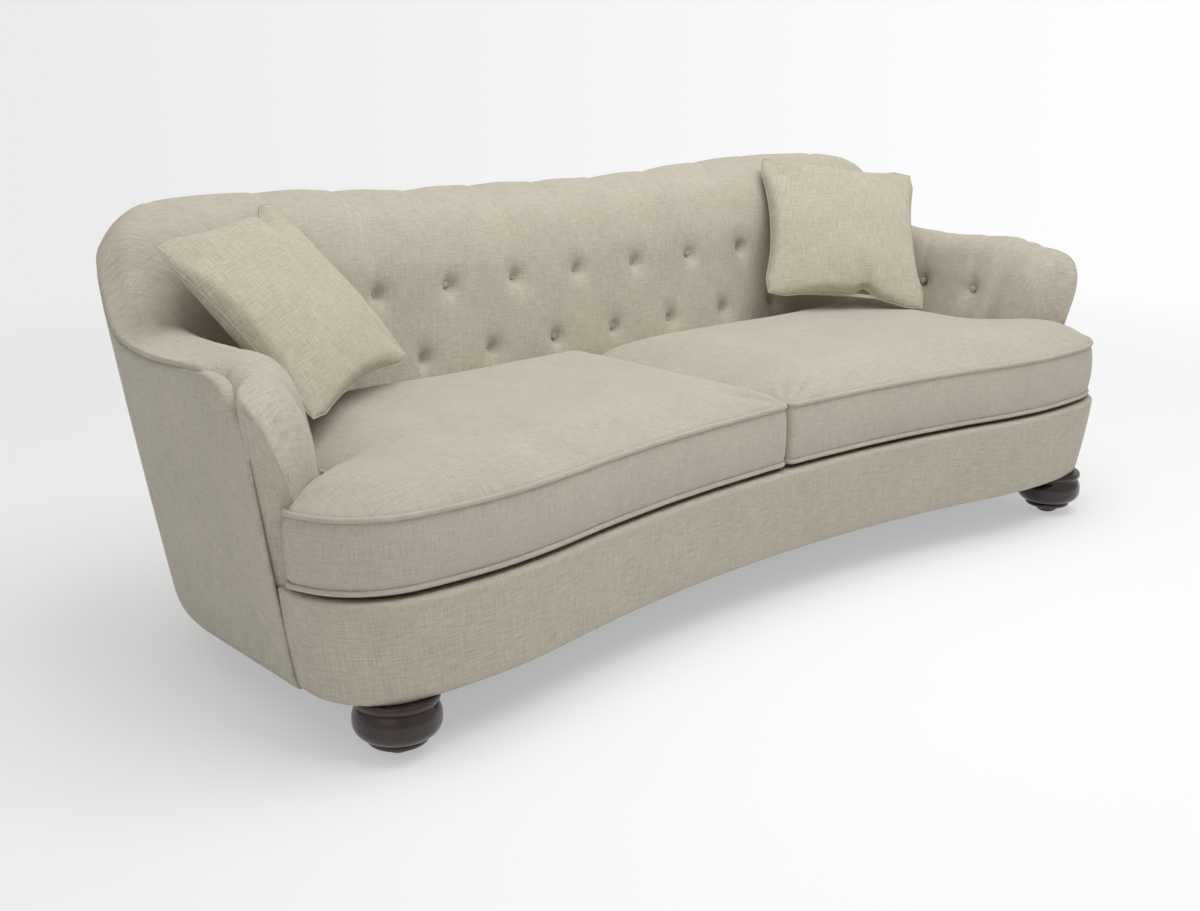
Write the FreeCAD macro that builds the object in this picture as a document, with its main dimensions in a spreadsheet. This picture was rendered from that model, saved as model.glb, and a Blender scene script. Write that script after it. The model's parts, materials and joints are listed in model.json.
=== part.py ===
# Sprung sofa with a low serpentine front, flared arms and a button-tufted back.
# Millimetres, +Z up, front towards -Y, standing on the floor at Z = 0.
# While the pieces are drawn, Y = 0 is the line through the two front feet.
# Each piece is then placed so that the origin is under the middle of the sofa.
import FreeCAD, Part
import math
import os
from FreeCAD import Placement, Rotation, Vector

os.makedirs("parts", exist_ok=True)
doc = FreeCAD.newDocument("Sofa")

# Driving dimensions
SIZES = [
    ("half_width", 1174, "base outline at the floor end, from the middle to the side"),
    ("front_set_back", 26, "how far the middle of the front is set back"),
    ("centre_radius", 3400, "hollow curve in the middle of the front"),
    ("ear_radius", 1070, "full curve at each end of the front"),
    ("ear_centre", 920, "foremost point of the full curve, from the middle"),
    ("corner_radius", 150, "front corner of the base"),
    ("side_end", 450, "where the side starts to turn towards the back"),
    ("rear_slow_radius", 700, "first, gentle part of the rear corner"),
    ("rear_fast_radius", 300, "second, tighter part of the rear corner"),
    ("origin_depth", 447.7, "origin behind the line of the front feet"),
    ("base_bottom", 113, "underside of the upholstered base"),
    ("deck_top", 320, "top of the seat deck"),
    ("flare", 0.148, "outward lean of the outside panels, per unit of height"),
    ("panel_skin", 9, "outside panel, cloth over card and wadding"),
    ("border_thick", 22, "padded front border"),
    ("rail_thick", 28, "thickness of the seat rails"),
    ("rail_bottom", 124, "underside of the seat rails"),
    ("rail_top", 280, "top of the seat rails"),
    ("piping_radius", 5, "radius of the piping on the seat cushions"),
    ("top_piping", 459.6, "height of the upper piping"),
    ("low_piping", 329, "height of the lower piping"),
    ("crown", 47, "rise of the seat cushion above its upper piping"),
    ("button_pitch", 196, "spacing of the buttons along the back"),
    ("upper_row", 680, "height of the upper row of buttons"),
    ("lower_row", 524, "height of the lower row of buttons"),
    ("pillow_side", 440, "side of a throw pillow"),
    ("pillow_thick", 124, "thickness of a throw pillow in its middle"),
    ("foot_span", 1050, "foot centre from the middle of the sofa"),
    ("rear_foot_depth", 730, "rear foot centre behind the front foot line"),
    ("rear_foot_span", 960, "rear foot centre from the middle of the sofa"),
    ("bolt_radius", 4, "hanger bolt of a foot"),
    ("clearance", 0.5, "air between pieces that part"),
]
sheet = doc.addObject("Spreadsheet::Sheet", "Sizes")
for row, (name, value, note) in enumerate(SIZES, 1):
    sheet.set(f"A{row}", name)
    sheet.set(f"B{row}", str(value))
    sheet.set(f"C{row}", note)
    sheet.setAlias(f"B{row}", name)
doc.recompute()


def size(name):
    return float(sheet.get(name))


SHIFT = Vector(0, -size("origin_depth"), 0)
FLARE = size("flare")
BASE = size("base_bottom")
DECK = size("deck_top")
HALF = size("half_width")
GAP = size("clearance")
PARTS = []


# Keeping and placing the pieces
def keep(obj, label):
    obj.Label = label
    PARTS.append(obj)
    return obj


def feature(label, shape):
    obj = doc.addObject("Part::Feature", label)
    obj.Shape = shape
    obj.Placement = Placement(SHIFT, Rotation()).multiply(shape.Placement)
    return keep(obj, label)


def mirrored(shape):
    return shape.mirror(Vector(0, 0, 0), Vector(1, 0, 0))


def pair(label, shape):
    # The right-hand piece is drawn, and the left-hand piece is its mirror image.
    feature(label + "_right", shape)
    feature(label + "_left", mirrored(shape))


def board(label, length, width, height, corner, turn=None):
    # A straight timber, with each size bound to the sheet or written as a number.
    obj = doc.addObject("Part::Box", label)
    for prop, value in (("Length", length), ("Width", width), ("Height", height)):
        if isinstance(value, str):
            obj.setExpression(prop, value)
        else:
            setattr(obj, prop, value)
    obj.Placement = Placement(SHIFT + Vector(*corner), turn or Rotation())
    return keep(obj, label)


def plane_of(body, role):
    return next(f for f in body.Origin.OriginFeatures if f.Role == role)


def sketch_on(body, role, name, height=0.0):
    sketch = body.newObject("Sketcher::SketchObject", name)
    sketch.AttachmentSupport = (plane_of(body, role), [""])
    sketch.MapMode = "FlatFace"
    sketch.AttachmentOffset = Placement(Vector(0, 0, height), Rotation())
    return sketch


def draw(sketch, edges):
    for edge in edges:
        curve = edge.Curve
        if isinstance(curve, Part.Line):
            ends = [v.Point for v in edge.Vertexes]
            sketch.addGeometry(Part.LineSegment(ends[0], ends[-1]), False)
        else:
            first, last = edge.ParameterRange
            points = [edge.valueAt(t) for t in (first, (first + last) / 2, last)]
            sketch.addGeometry(Part.Arc(*points), False)


def padded_plate(label, edges, bottom, thickness):
    # A flat piece of a drawn outline: sketch on the ground plane, then one pad.
    body = doc.addObject("PartDesign::Body", label)
    sketch = sketch_on(body, "XY_Plane", label + "_outline", bottom)
    draw(sketch, edges)
    pad = body.newObject("PartDesign::Pad", label + "_pad")
    pad.Profile = sketch
    if isinstance(thickness, str):
        pad.setExpression("Length", thickness)
    else:
        pad.Length = thickness
    body.Placement = Placement(SHIFT, Rotation())
    return keep(body, label)


def turned(label, profile, place):
    # A turned piece: half outline in the XZ plane, spun round the Z axis.
    body = doc.addObject("PartDesign::Body", label)
    sketch = sketch_on(body, "XZ_Plane", label + "_profile")
    draw(sketch, profile)
    spin = body.newObject("PartDesign::Revolution", label + "_spin")
    spin.Profile = sketch
    spin.ReferenceAxis = (sketch, ["V_Axis"])
    spin.Angle = 360
    body.Placement = place
    return body


# Lines and arcs
def line(a, b):
    return Part.LineSegment(a, b).toShape()


def arc(a, b, c):
    return Part.Arc(a, b, c).toShape()


def polygon(points):
    return [line(a, b) for a, b in zip(points, points[1:] + points[:1])]


def on_circle(centre, radius, degrees):
    turn = math.radians(degrees)
    return Vector(centre.x + radius * math.cos(turn), centre.y + radius * math.sin(turn), 0)


def heading(centre, point):
    return math.degrees(math.atan2(point.y - centre.y, point.x - centre.x))


def arc_about(centre, radius, start, end):
    return arc(*(on_circle(centre, radius, a) for a in (start, (start + end) / 2, end)))


def raised(points, z):
    return [Vector(p.x, p.y, z) for p in points]


class Outline:
    """Plan curve of the base, right-hand half, moved outwards by `out`."""

    def __init__(self, out, half=None, corner=None, front=0.0):
        r1 = size("centre_radius")
        r2 = size("ear_radius") + front
        half = half or HALF
        corner = corner or size("corner_radius")
        self.c1 = Vector(0, size("front_set_back") - r1, 0)
        ex = size("ear_centre")
        span = size("centre_radius") + size("ear_radius")
        self.c2 = Vector(ex, self.c1.y + math.sqrt(span ** 2 - ex ** 2), 0)
        dx = half - corner - ex
        self.c3 = Vector(half - corner, self.c2.y - math.sqrt((r2 - corner) ** 2 - dx ** 2), 0)
        self.r1 = r1 - front - out
        self.r2 = r2 + out
        self.r3 = corner + out
        self.turn12 = heading(self.c1, self.c2)
        self.turn23 = heading(self.c2, self.c3)

    def front_start(self, x):
        return Vector(x, self.c1.y + math.sqrt(self.r1 ** 2 - x ** 2), 0)

    def front_edges(self, x, end=0.0):
        # From x on the hollow curve, by the full curve, to the corner arc's end angle.
        start = heading(self.c1, self.front_start(x))
        return [
            arc_about(self.c1, self.r1, start, self.turn12),
            arc_about(self.c2, self.r2, self.turn12 - 180, self.turn23),
            arc_about(self.c3, self.r3, self.turn23, end),
        ]


def rear_corner(out):
    # Centres, radii and angles of the two arcs of the right rear corner.
    slow = size("rear_slow_radius")
    fast = size("rear_fast_radius")
    a = Vector(HALF - slow, size("side_end"), 0)
    turn = math.radians(20)
    b = a + Vector(math.cos(turn), math.sin(turn), 0) * (slow - fast)
    return a, slow + out, b, fast + out


def station(kind, value):
    """Point of the base outline and its outward direction, right-hand half."""
    if kind == "side":
        return Vector(HALF, value, 0), Vector(1, 0, 0)
    a, slow, b, fast = rear_corner(0)
    if kind == "corner":
        centre, radius = (a, slow) if value <= 20 else (b, fast)
        point = on_circle(centre, radius, value)
        return point, (point - centre).normalize()
    return Vector(value, b.y + fast, 0), Vector(0, 1, 0)


def half_plan(out):
    # Closed base outline, both halves, moved outwards by `out`.
    o = Outline(out)
    a, slow, b, fast = rear_corner(out)
    side = HALF + out
    right = o.front_edges(0)
    right.append(line(Vector(side, o.c3.y, 0), Vector(side, a.y, 0)))
    right.append(arc_about(a, slow, 0, 20))
    right.append(arc_about(b, fast, 20, 90))
    right.append(line(Vector(b.x, b.y + fast, 0), Vector(0, b.y + fast, 0)))
    return right


def lean(z):
    return FLARE * (z - BASE)


def between(knots, value):
    for (x0, y0), (x1, y1) in zip(knots, knots[1:]):
        if x0 <= value <= x1:
            return y0 + (y1 - y0) * (value - x0) / (x1 - x0)
    return knots[0][1] if value < knots[0][0] else knots[-1][1]


def sweep_up(kind, value):
    """Height of the crest of the arms and back, from the arm to the middle of the back."""
    if kind == "side":
        knots = [(60, 706), (200, 706), (330, 700), (450, 694)]
    elif kind == "corner":
        knots = [(0, 694), (10, 700), (16, 722), (22, 775), (28, 835), (35, 875), (45, 897)]
        knots += [(60, 905), (90, 905)]
    else:
        knots = [(0, 880), (400, 886), (650, 899), (853, 905)]
    return between(knots, value)


def share(kind, value):
    # 0 on the arm, 1 on the back, turning from one to the other round the corner.
    if kind == "side":
        return 0.0
    if kind == "corner":
        return min(1.0, max(0.0, (value - 8) / 52.0))
    return 1.0


def inner_face(kind, value):
    # Pad depth beside the seat: 139 on the arm, 212 on the back, squarer round the corner.
    if kind != "corner":
        return -139.0 if kind == "side" else -212.0
    knots = [(0, 139), (10, 130), (16, 117), (22, 117), (28, 127), (35, 146), (45, 175)]
    knots += [(60, 198), (75, 209), (90, 212)]
    return -between(knots, value)


def pad_points(kind, value, puff=0.0):
    """Inner face, crest and seam of the arm or back pad, as (outward, height) pairs."""
    top = sweep_up(kind, value)
    k = share(kind, value)
    low = inner_face(kind, value)
    rise = top - 460
    face = [
        (low, DECK + GAP),
        (low, 460),
        (low + (20 + 12 * k) - puff, 460 + 0.36 * rise),
        (low + (42 + 24 * k) - puff, 460 + 0.68 * rise),
        (low + (72 + 50 * k) - puff, 460 + 0.90 * rise),
        (low + 124 + 100 * k, top + puff),
    ]
    seam = top - 26 - 64 * k
    roll = (lean(seam) - 26 * (1 - 0.1 * k), top - 10 - 10 * k)
    return face, roll, (lean(seam) - 1, seam)


def pad_section(kind, value, puff=0.0):
    # Closed section of a pad: arcs over the visible side, lines round the frame.
    origin, outward = station(kind, value)
    face, roll, seam = pad_points(kind, value, puff)
    thick = 42 + 8 * share(kind, value)
    inner = [
        (seam[0] - size("panel_skin"), seam[1]),
        (seam[0] - 32, seam[1] - 34),
        (face[4][0] + thick, face[4][1] - thick),
        (face[2][0] + thick, face[2][1]),
        (face[1][0] + thick, 440),
        (face[0][0] + thick, DECK + GAP),
    ]

    def put(pair_nz):
        return origin + outward * pair_nz[0] + Vector(0, 0, pair_nz[1])

    p = [put(f) for f in face]
    edges = [line(p[0], p[1]), arc(p[1], p[2], p[3]), arc(p[3], p[4], p[5])]
    edges.append(arc(p[5], put(roll), put(seam)))
    q = [put(seam)] + [put(i) for i in inner] + [p[0]]
    edges += [line(a, b) for a, b in zip(q, q[1:])]
    return Part.Wire(edges)


def loft(wires, ruled=False):
    return Part.makeLoft(wires, True, ruled)


# Seat frame
def rail_curve():
    outer = Outline(-(size("border_thick") + 3))
    inner = Outline(-(size("border_thick") + 3 + size("rail_thick")))
    end = 985
    outer_right = outer.front_edges(0)[:2]
    inner_right = inner.front_edges(0)[:2]

    def cut_at(o, edges):
        angle = -math.degrees(math.acos((end - o.c2.x) / o.r2))
        edges[1] = arc_about(o.c2, o.r2, o.turn12 - 180, angle)
        return edges, on_circle(o.c2, o.r2, angle)

    outer_right, p = cut_at(outer, outer_right)
    inner_right, q = cut_at(inner, inner_right)
    right = outer_right + [line(p, q)] + inner_right
    return right + [mirrored(e) for e in right]


rail_height = size("rail_top") - size("rail_bottom")
RAIL_Z = size("rail_bottom")
padded_plate("front_rail", Part.__sortEdges__(rail_curve()), RAIL_Z, "Sizes.rail_top - Sizes.rail_bottom")
back_y = rear_corner(0)[2].y + rear_corner(0)[3]
board("back_rail", 1560, "Sizes.rail_thick", "Sizes.rail_top - Sizes.rail_bottom",
      (-780, back_y - 60, RAIL_Z))
for label, x in (("side_rail_right", HALF - 60), ("side_rail_left", -HALF + 60 - size("rail_thick"))):
    board(label, "Sizes.rail_thick", 390, "Sizes.rail_top - Sizes.rail_bottom", (x, 200, RAIL_Z))
board("centre_rail", 40, back_y - 60 - 79.5, 90, (-20, 79.5, RAIL_Z))


def corner_rail():
    a = Vector(HALF - 62, 594, 0)
    b = Vector(HALF - 34, 594, 0)
    c = Vector(806, back_y - 34, 0)
    d = Vector(784, back_y - 62, 0)
    bend = Vector(1036, 756, 0)
    outer_bend = Vector(1056, 776, 0)
    return polygon([a, b, outer_bend, c, d, bend])


def prism(points, z, height):
    wire = Part.Wire(polygon(raised(points, z)))
    return Part.Face(wire).extrude(Vector(0, 0, height))


def edge_points(edges):
    return [e.Vertexes[0].Point for e in edges]


corner_points = edge_points(corner_rail())
pair("rear_corner_rail", prism(corner_points, RAIL_Z, rail_height))

# Corner blocks that carry the feet, each with the hole for its hanger bolt
FEET = [
    ("foot_front_right", size("foot_span"), 0),
    ("foot_front_left", -size("foot_span"), 0),
    ("foot_rear_right", size("rear_foot_span"), size("rear_foot_depth")),
    ("foot_rear_left", -size("rear_foot_span"), size("rear_foot_depth")),
]
BLOCK_HEIGHT = 60


def bolt_hole(x, y):
    return Part.makeCylinder(size("bolt_radius") + 0.3, BLOCK_HEIGHT + 2, Vector(x, y, RAIL_Z - 1))


def front_block():
    points = [(988, -20), (1085, -20), (1128, 40), (1128, 150), (940, 150), (940, 30), (988, 0)]
    block = prism([Vector(x, y, 0) for x, y in points], RAIL_Z, BLOCK_HEIGHT)
    return block.cut(bolt_hole(FEET[0][1], FEET[0][2]))


def rear_block():
    points = [(870, 660), (1020, 600), (1080, 640), (1032, 752), (930, 782), (870, 782)]
    block = prism([Vector(x, y, 0) for x, y in points], RAIL_Z, BLOCK_HEIGHT)
    return block.cut(bolt_hole(FEET[2][1], FEET[2][2]))


right_blocks = [front_block(), rear_block()]
feature("corner_blocks", Part.makeCompound(right_blocks + [mirrored(b) for b in right_blocks]))


# Back and arm frame, leaning outwards with the outside panels
def leaning_post(x_or_y, breadth, low, high, inset, depth, kind):
    # A four-sided post whose outer face keeps `inset` inside the outer skin.
    def corner(z, n):
        return lean(z) - inset - n

    profile = [(corner(low, 0), low), (corner(low, depth), low)]
    profile += [(corner(high, depth), high), (corner(high, 0), high)]
    if kind == "back":
        points = [Vector(x_or_y, back_y + n, z) for n, z in profile]
        push = Vector(breadth, 0, 0)
    else:
        points = [Vector(HALF + n, x_or_y, z) for n, z in profile]
        push = Vector(0, breadth, 0)
    return Part.Face(Part.Wire(polygon(points))).extrude(push)


POST_LOW = size("rail_top") + GAP
BACK_POST_TOP = 699.5
ARM_POST_TOP = 594.5
uprights = [leaning_post(x - 22, 44, POST_LOW, BACK_POST_TOP, 16, 34, "back") for x in (-420, 0, 420)]
feature("back_uprights", Part.makeCompound(uprights))
pair("back_post", leaning_post(756, 48, POST_LOW, BACK_POST_TOP, 16, 34, "back"))
pair("arm_post", leaning_post(252, 38, POST_LOW, ARM_POST_TOP, 16, 40, "arm"))
pair("arm_rear_post", leaning_post(440, 38, POST_LOW, ARM_POST_TOP, 16, 40, "arm"))


def arm_rail():
    x = HALF + lean(605) - 62
    return Part.makeBox(48, 234, 24, Vector(x, 248, ARM_POST_TOP + GAP))


pair("arm_top_rail", arm_rail())


def top_rail():
    # A board on the back posts, its upper edge cut to the line of the back.
    y = back_y + lean(BACK_POST_TOP) - 50
    low = BACK_POST_TOP + GAP
    knots = [(-806, 768), (-640, 763), (-400, 752), (0, 744), (400, 752), (640, 763), (806, 768)]
    upper = [Vector(x, y, z) for x, z in knots]
    edges = [line(Vector(806, y, low), Vector(-806, y, low)), line(Vector(-806, y, low), upper[0])]
    edges.append(arc(upper[0], upper[1], upper[2]))
    edges.append(arc(upper[2], upper[3], upper[4]))
    edges.append(arc(upper[4], upper[5], upper[6]))
    edges.append(line(upper[6], Vector(806, y, low)))
    return Part.Face(Part.Wire(edges)).extrude(Vector(0, 30, 0))


feature("back_top_rail", top_rail())


# Webbing on the front of the back posts
def back_webbing():
    strips = []
    tilt = Rotation(Vector(1, 0, 0), -math.degrees(math.atan(FLARE)))
    for x in (-620, -210, 210, 620):
        strip = Part.makeBox(70, 1.6, 410)
        n = lean(POST_LOW) - 16 - 34 - 2.2
        strip.Placement = Placement(Vector(x - 35, back_y + n, POST_LOW + 4), tilt)
        strips.append(strip)
    return Part.makeCompound(strips)


feature("back_webbing", back_webbing())


# Serpentine seat springs on clips, ten side by side from front rail to back rail
SPRING_Z = size("rail_top") + 8
SPRING_RADIUS = 15.0
SPRING_BAR = 11.0
WIRE_RADIUS = 1.9


def front_y(x, out):
    o = Outline(out)
    if x < on_circle(o.c1, o.r1, o.turn12).x:
        return o.front_start(x).y
    return o.c2.y - math.sqrt(o.r2 ** 2 - (x - o.c2.x) ** 2)


def spring(x, start, end):
    radius = SPRING_RADIUS
    reach = radius + SPRING_BAR
    bend = radius * (1 - math.sqrt(0.5))
    turns = int((end - start - 2 * radius - 40) / (2 * radius))
    straight = (end - start - 2 * radius * (turns + 1)) / 2

    def at(dx, y):
        return Vector(x + dx, y, SPRING_Z)

    y = start + straight
    edges = [line(at(0, start), at(0, y)), arc(at(0, y), at(bend, y + radius - bend), at(radius, y + radius))]
    y += radius
    edges.append(line(at(radius, y), at(reach, y)))
    side = 1
    for turn in range(turns):
        outermost = at(side * (reach + radius), y + radius)
        edges.append(arc(at(side * reach, y), outermost, at(side * reach, y + 2 * radius)))
        y += 2 * radius
        if turn < turns - 1:
            edges.append(line(at(side * reach, y), at(-side * reach, y)))
            side = -side
    edges.append(line(at(side * reach, y), at(side * radius, y)))
    edges.append(arc(at(side * radius, y), at(side * bend, y + bend), at(0, y + radius)))
    edges.append(line(at(0, y + radius), at(0, end)))
    wire = Part.Wire(edges)
    circle = Part.Wire(Part.makeCircle(WIRE_RADIUS, at(0, start), Vector(0, 1, 0)))
    return wire.makePipeShell([circle], True, False)


def clip(x, y):
    block = Part.makeBox(24, 14, 7.5, Vector(x - 12, y, SPRING_Z - 3.8))
    return block.cut(Part.makeCylinder(WIRE_RADIUS + 0.2, 16, Vector(x, y - 1, SPRING_Z), Vector(0, 1, 0)))


springs = []
clips = []
RAIL_INSET = size("border_thick") + 3
for spring_x in [side * x for side in (-1, 1) for x in (80, 240, 400, 560, 720)]:
    rail_y = front_y(abs(spring_x), -RAIL_INSET)
    springs.append(spring(spring_x, rail_y + 5, back_y - 38))
    clips += [clip(spring_x, rail_y + 7), clip(spring_x, back_y - 54)]
feature("seat_springs", Part.makeCompound(springs))
feature("spring_clips", Part.makeCompound(clips))


# Seat deck over the springs, and the dust cover under the frame
def deck_edges(out):
    right = half_plan(out)
    return Part.Wire(Part.__sortEdges__(right + [mirrored(e) for e in right])).Edges


padded_plate("seat_deck", deck_edges(-(size("border_thick") + 10)), 298, "Sizes.deck_top - 298")
dust = Part.Face(Part.Wire(deck_edges(-(size("border_thick") + 1)))).extrude(Vector(0, 0, 1.2))
dust.translate(Vector(0, 0, RAIL_Z - 2))
FOOT_PLATE = 34
for _, foot_x, foot_y in FEET:
    dust = dust.cut(Part.makeCylinder(FOOT_PLATE + 1, 10, Vector(foot_x, foot_y, RAIL_Z - 5)))
dust = dust.cut(Part.makeBox(62, 62, 10, Vector(-31, 399, RAIL_Z - 5)))
feature("dust_cover", dust)


# Front border, from one arm seam round the front to the other
def border_solid():
    seam_y = 128
    top = DECK - 6
    round_radius = 12

    def ring(out, z):
        o = Outline(out)
        right = o.front_edges(0)
        right.append(line(Vector(HALF + out, o.c3.y, 0), Vector(HALF + out, seam_y, 0)))
        wire = Part.Wire(Part.__sortEdges__(right + [mirrored(e) for e in right]))
        wire.translate(Vector(0, 0, z))
        return wire

    def closed(out, z):
        outer = ring(out, z)
        inner = ring(-size("border_thick"), z)
        a = [Vector(s * (HALF + out), seam_y, z) for s in (1, -1)]
        b = [Vector(s * (HALF - size("border_thick")), seam_y, z) for s in (1, -1)]
        edges = outer.Edges + inner.Edges + [line(a[0], b[0]), line(a[1], b[1])]
        return Part.Wire(Part.__sortEdges__(edges))

    levels = [(-7, BASE), (0, BASE + 8), (lean(200), 200), (lean(top - round_radius), top - round_radius),
              (lean(top) - 4, top - 3), (-8, top)]
    return loft([closed(out, z) for out, z in levels], True)


feature("front_border", border_solid())


# Outside panels: flat shells that lean outwards, from the arm seam round the back
def panel_section(kind, value):
    origin, outward = station(kind, value)
    seam = pad_points(kind, value)[2][1] - 2.5
    skin = size("panel_skin")

    def put(n, z):
        return origin + outward * n + Vector(0, 0, z)

    points = [put(-22, BASE), put(-6, BASE), put(0, BASE + 8), put(lean(seam), seam),
              put(lean(seam) - skin + 1.8, seam), put(0.8 - skin, BASE + 8.5), put(-22, BASE + 8.5)]
    return Part.Wire(polygon(points))


ARM_STATIONS = [("side", y) for y in (130, 220, 330, 450)]
CORNER_STATIONS = [("corner", a) for a in (10, 16, 22, 28, 35, 45)]
REAR_STATIONS = [("corner", a) for a in (45, 60, 75, 90)]
pair("outside_arm", loft([panel_section(*s) for s in ARM_STATIONS + CORNER_STATIONS], True))


def across(stations, section):
    # Sections of the right half, then their mirror images back to the left.
    right = [section(*s) for s in stations]
    middle = section("back", 0)
    left = [mirrored(w) for w in reversed(right)]
    return right + [middle] + left


panel_stations = REAR_STATIONS + [("back", x) for x in (640, 400)]
feature("outside_back", loft(across(panel_stations, panel_section), True))


# Inside arm pads: a lofted nose at the front, then the arm up to the rear corner
NOSE_TURN = 30.0
NOSE_FRONT = 38.0


def arm_section(y, turn=0.0, across_scale=1.0, ahead=0.0, height_scale=1.0):
    # Whole outline of the arm at depth y; on the nose it is turned, narrowed and lowered.
    face, roll, seam = pad_points("side", 240)
    skin = size("panel_skin")
    low = DECK + GAP
    angle = math.radians(turn)
    along = Vector(math.cos(angle), -math.sin(angle), 0)
    forward = Vector(-math.sin(angle), -math.cos(angle), 0)

    def put(n, z):
        edge = lean(z) - skin
        upright = math.tan(angle) * (lean(z) - lean(500))
        reach = (n - edge) * across_scale - 46.0 * (1 - across_scale)
        level = low + (z - low) * height_scale
        return Vector(HALF + edge, y - upright, level) + along * reach + forward * ahead

    p = [put(*f) for f in face]
    edges = [line(p[0], p[1]), arc(p[1], p[2], p[3]), arc(p[3], p[4], p[5])]
    edges.append(arc(p[5], put(*roll), put(*seam)))
    tail = [put(*seam), put(seam[0] - skin, seam[1] - 1), put(lean(DECK) - skin, low), p[0]]
    edges += [line(a, b) for a, b in zip(tail, tail[1:])]
    return Part.Wire(edges)


def inside_arm():
    nose = loft([
        arm_section(130, NOSE_TURN, 0.62, NOSE_FRONT, 0.84),
        arm_section(130, NOSE_TURN, 0.84, NOSE_FRONT - 10, 0.93),
        arm_section(130, NOSE_TURN, 0.97, NOSE_FRONT - 26, 0.985),
        arm_section(134, NOSE_TURN, 1.0, 0.0, 1.0),
        arm_section(186, NOSE_TURN / 2),
        arm_section(240),
    ], True)
    stations = [("side", y) for y in (240, 330, 450)] + CORNER_STATIONS
    arm = loft([pad_section(*s) for s in stations], True)
    return nose.fuse(arm)


def button_hole(place, reach):
    # Funnel that a button pulls into the pad, open towards the sitter.
    cone = Part.makeCone(12, 50, reach, Vector(0, 0, 0), Vector(0, 0, 1))
    cone.Placement = place
    return cone


def facing(point, towards):
    return Placement(point, Rotation(Vector(0, 0, 1), towards))


BACK_TILT = Vector(0, -1, 0.2)
ARM_TILT = Vector(-1, 0, 0.25)
PITCH = size("button_pitch")
BUTTON_DEPTH = 32.0


def back_face(z):
    face = pad_points("back", 0)[0]
    (n0, z0), (n1, z1) = face[1], face[3]
    return back_y + n0 + (n1 - n0) * (z - z0) / (z1 - z0)


def back_button_places():
    rows = [(size("upper_row"), [k * PITCH for k in range(-3, 4)])]
    rows.append((size("lower_row"), [(k + 0.5) * PITCH for k in range(-4, 4)]))
    return [facing(Vector(x, back_face(z) + BUTTON_DEPTH, z), BACK_TILT) for z, xs in rows for x in xs]


def arm_button_places():
    return [facing(Vector(HALF - 88, y, 566), ARM_TILT) for y in (297, 470)]


def deepened(place, amount):
    moved = place.copy()
    moved.Base = moved.Base - moved.Rotation.multVec(Vector(0, 0, amount))
    return moved


BACK_BUTTONS = back_button_places()
ARM_BUTTONS = arm_button_places()
right_arm = inside_arm()
for place in ARM_BUTTONS:
    right_arm = right_arm.cut(button_hole(deepened(place, 3), 46))
pair("inside_arm", right_arm)

# Inside back: the seams of the tufts are the low sections, the swells lie between
PUFF = 7.0


def back_pad():
    stations = [("corner", a, 0.0) for a in (45, 60, 75, 90)]
    steps = [(k * PITCH / 2, -PUFF if k % 2 == 0 else PUFF) for k in range(8, 0, -1)]
    stations += [("back", x, puff) for x, puff in steps]
    right = [pad_section(*s) for s in stations]
    wires = right + [pad_section("back", 0, -PUFF)] + [mirrored(w) for w in reversed(right)]
    pad = loft(wires, True)
    for place in BACK_BUTTONS:
        pad = pad.cut(button_hole(deepened(place, 3), 52))
    return pad


feature("inside_back", back_pad())


# Covered buttons
def button():
    # A straight rim under a cap cut from a ball.
    rim = Part.makeCylinder(11, 3.4)
    ball = Part.makeSphere(18, Vector(0, 0, -10.6))
    return Part.makeCylinder(11, 12).common(ball).fuse(rim).removeSplitter().Solids[0]


def set_at(shape, place):
    copy = shape.copy()
    copy.Placement = place
    return copy


feature("back_buttons", Part.makeCompound([set_at(button(), p) for p in BACK_BUTTONS]))
right_buttons = [set_at(button(), p) for p in ARM_BUTTONS]
feature("arm_buttons", Part.makeCompound(right_buttons + [mirrored(b) for b in right_buttons]))


# Seat cushions: a T shape whose ear passes in front of the arm
EAR_HALF = 1203.0
EAR_CORNER = 180.0
SIDE_X = HALF - 139 - 7.5
REAR_Y = back_y - 212 - 7.5


def rounded(before, vertex, after, radius):
    # Fillet of a corner: its two tangent points and the middle of its arc.
    u = (before - vertex).normalize()
    v = (after - vertex).normalize()
    half = math.acos(max(-1, min(1, u.dot(v)))) / 2
    reach = radius / math.tan(half)
    bisector = (u + v).normalize()
    middle = vertex + bisector * (radius / math.sin(half) - radius)
    return vertex + u * reach, middle, vertex + v * reach


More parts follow.
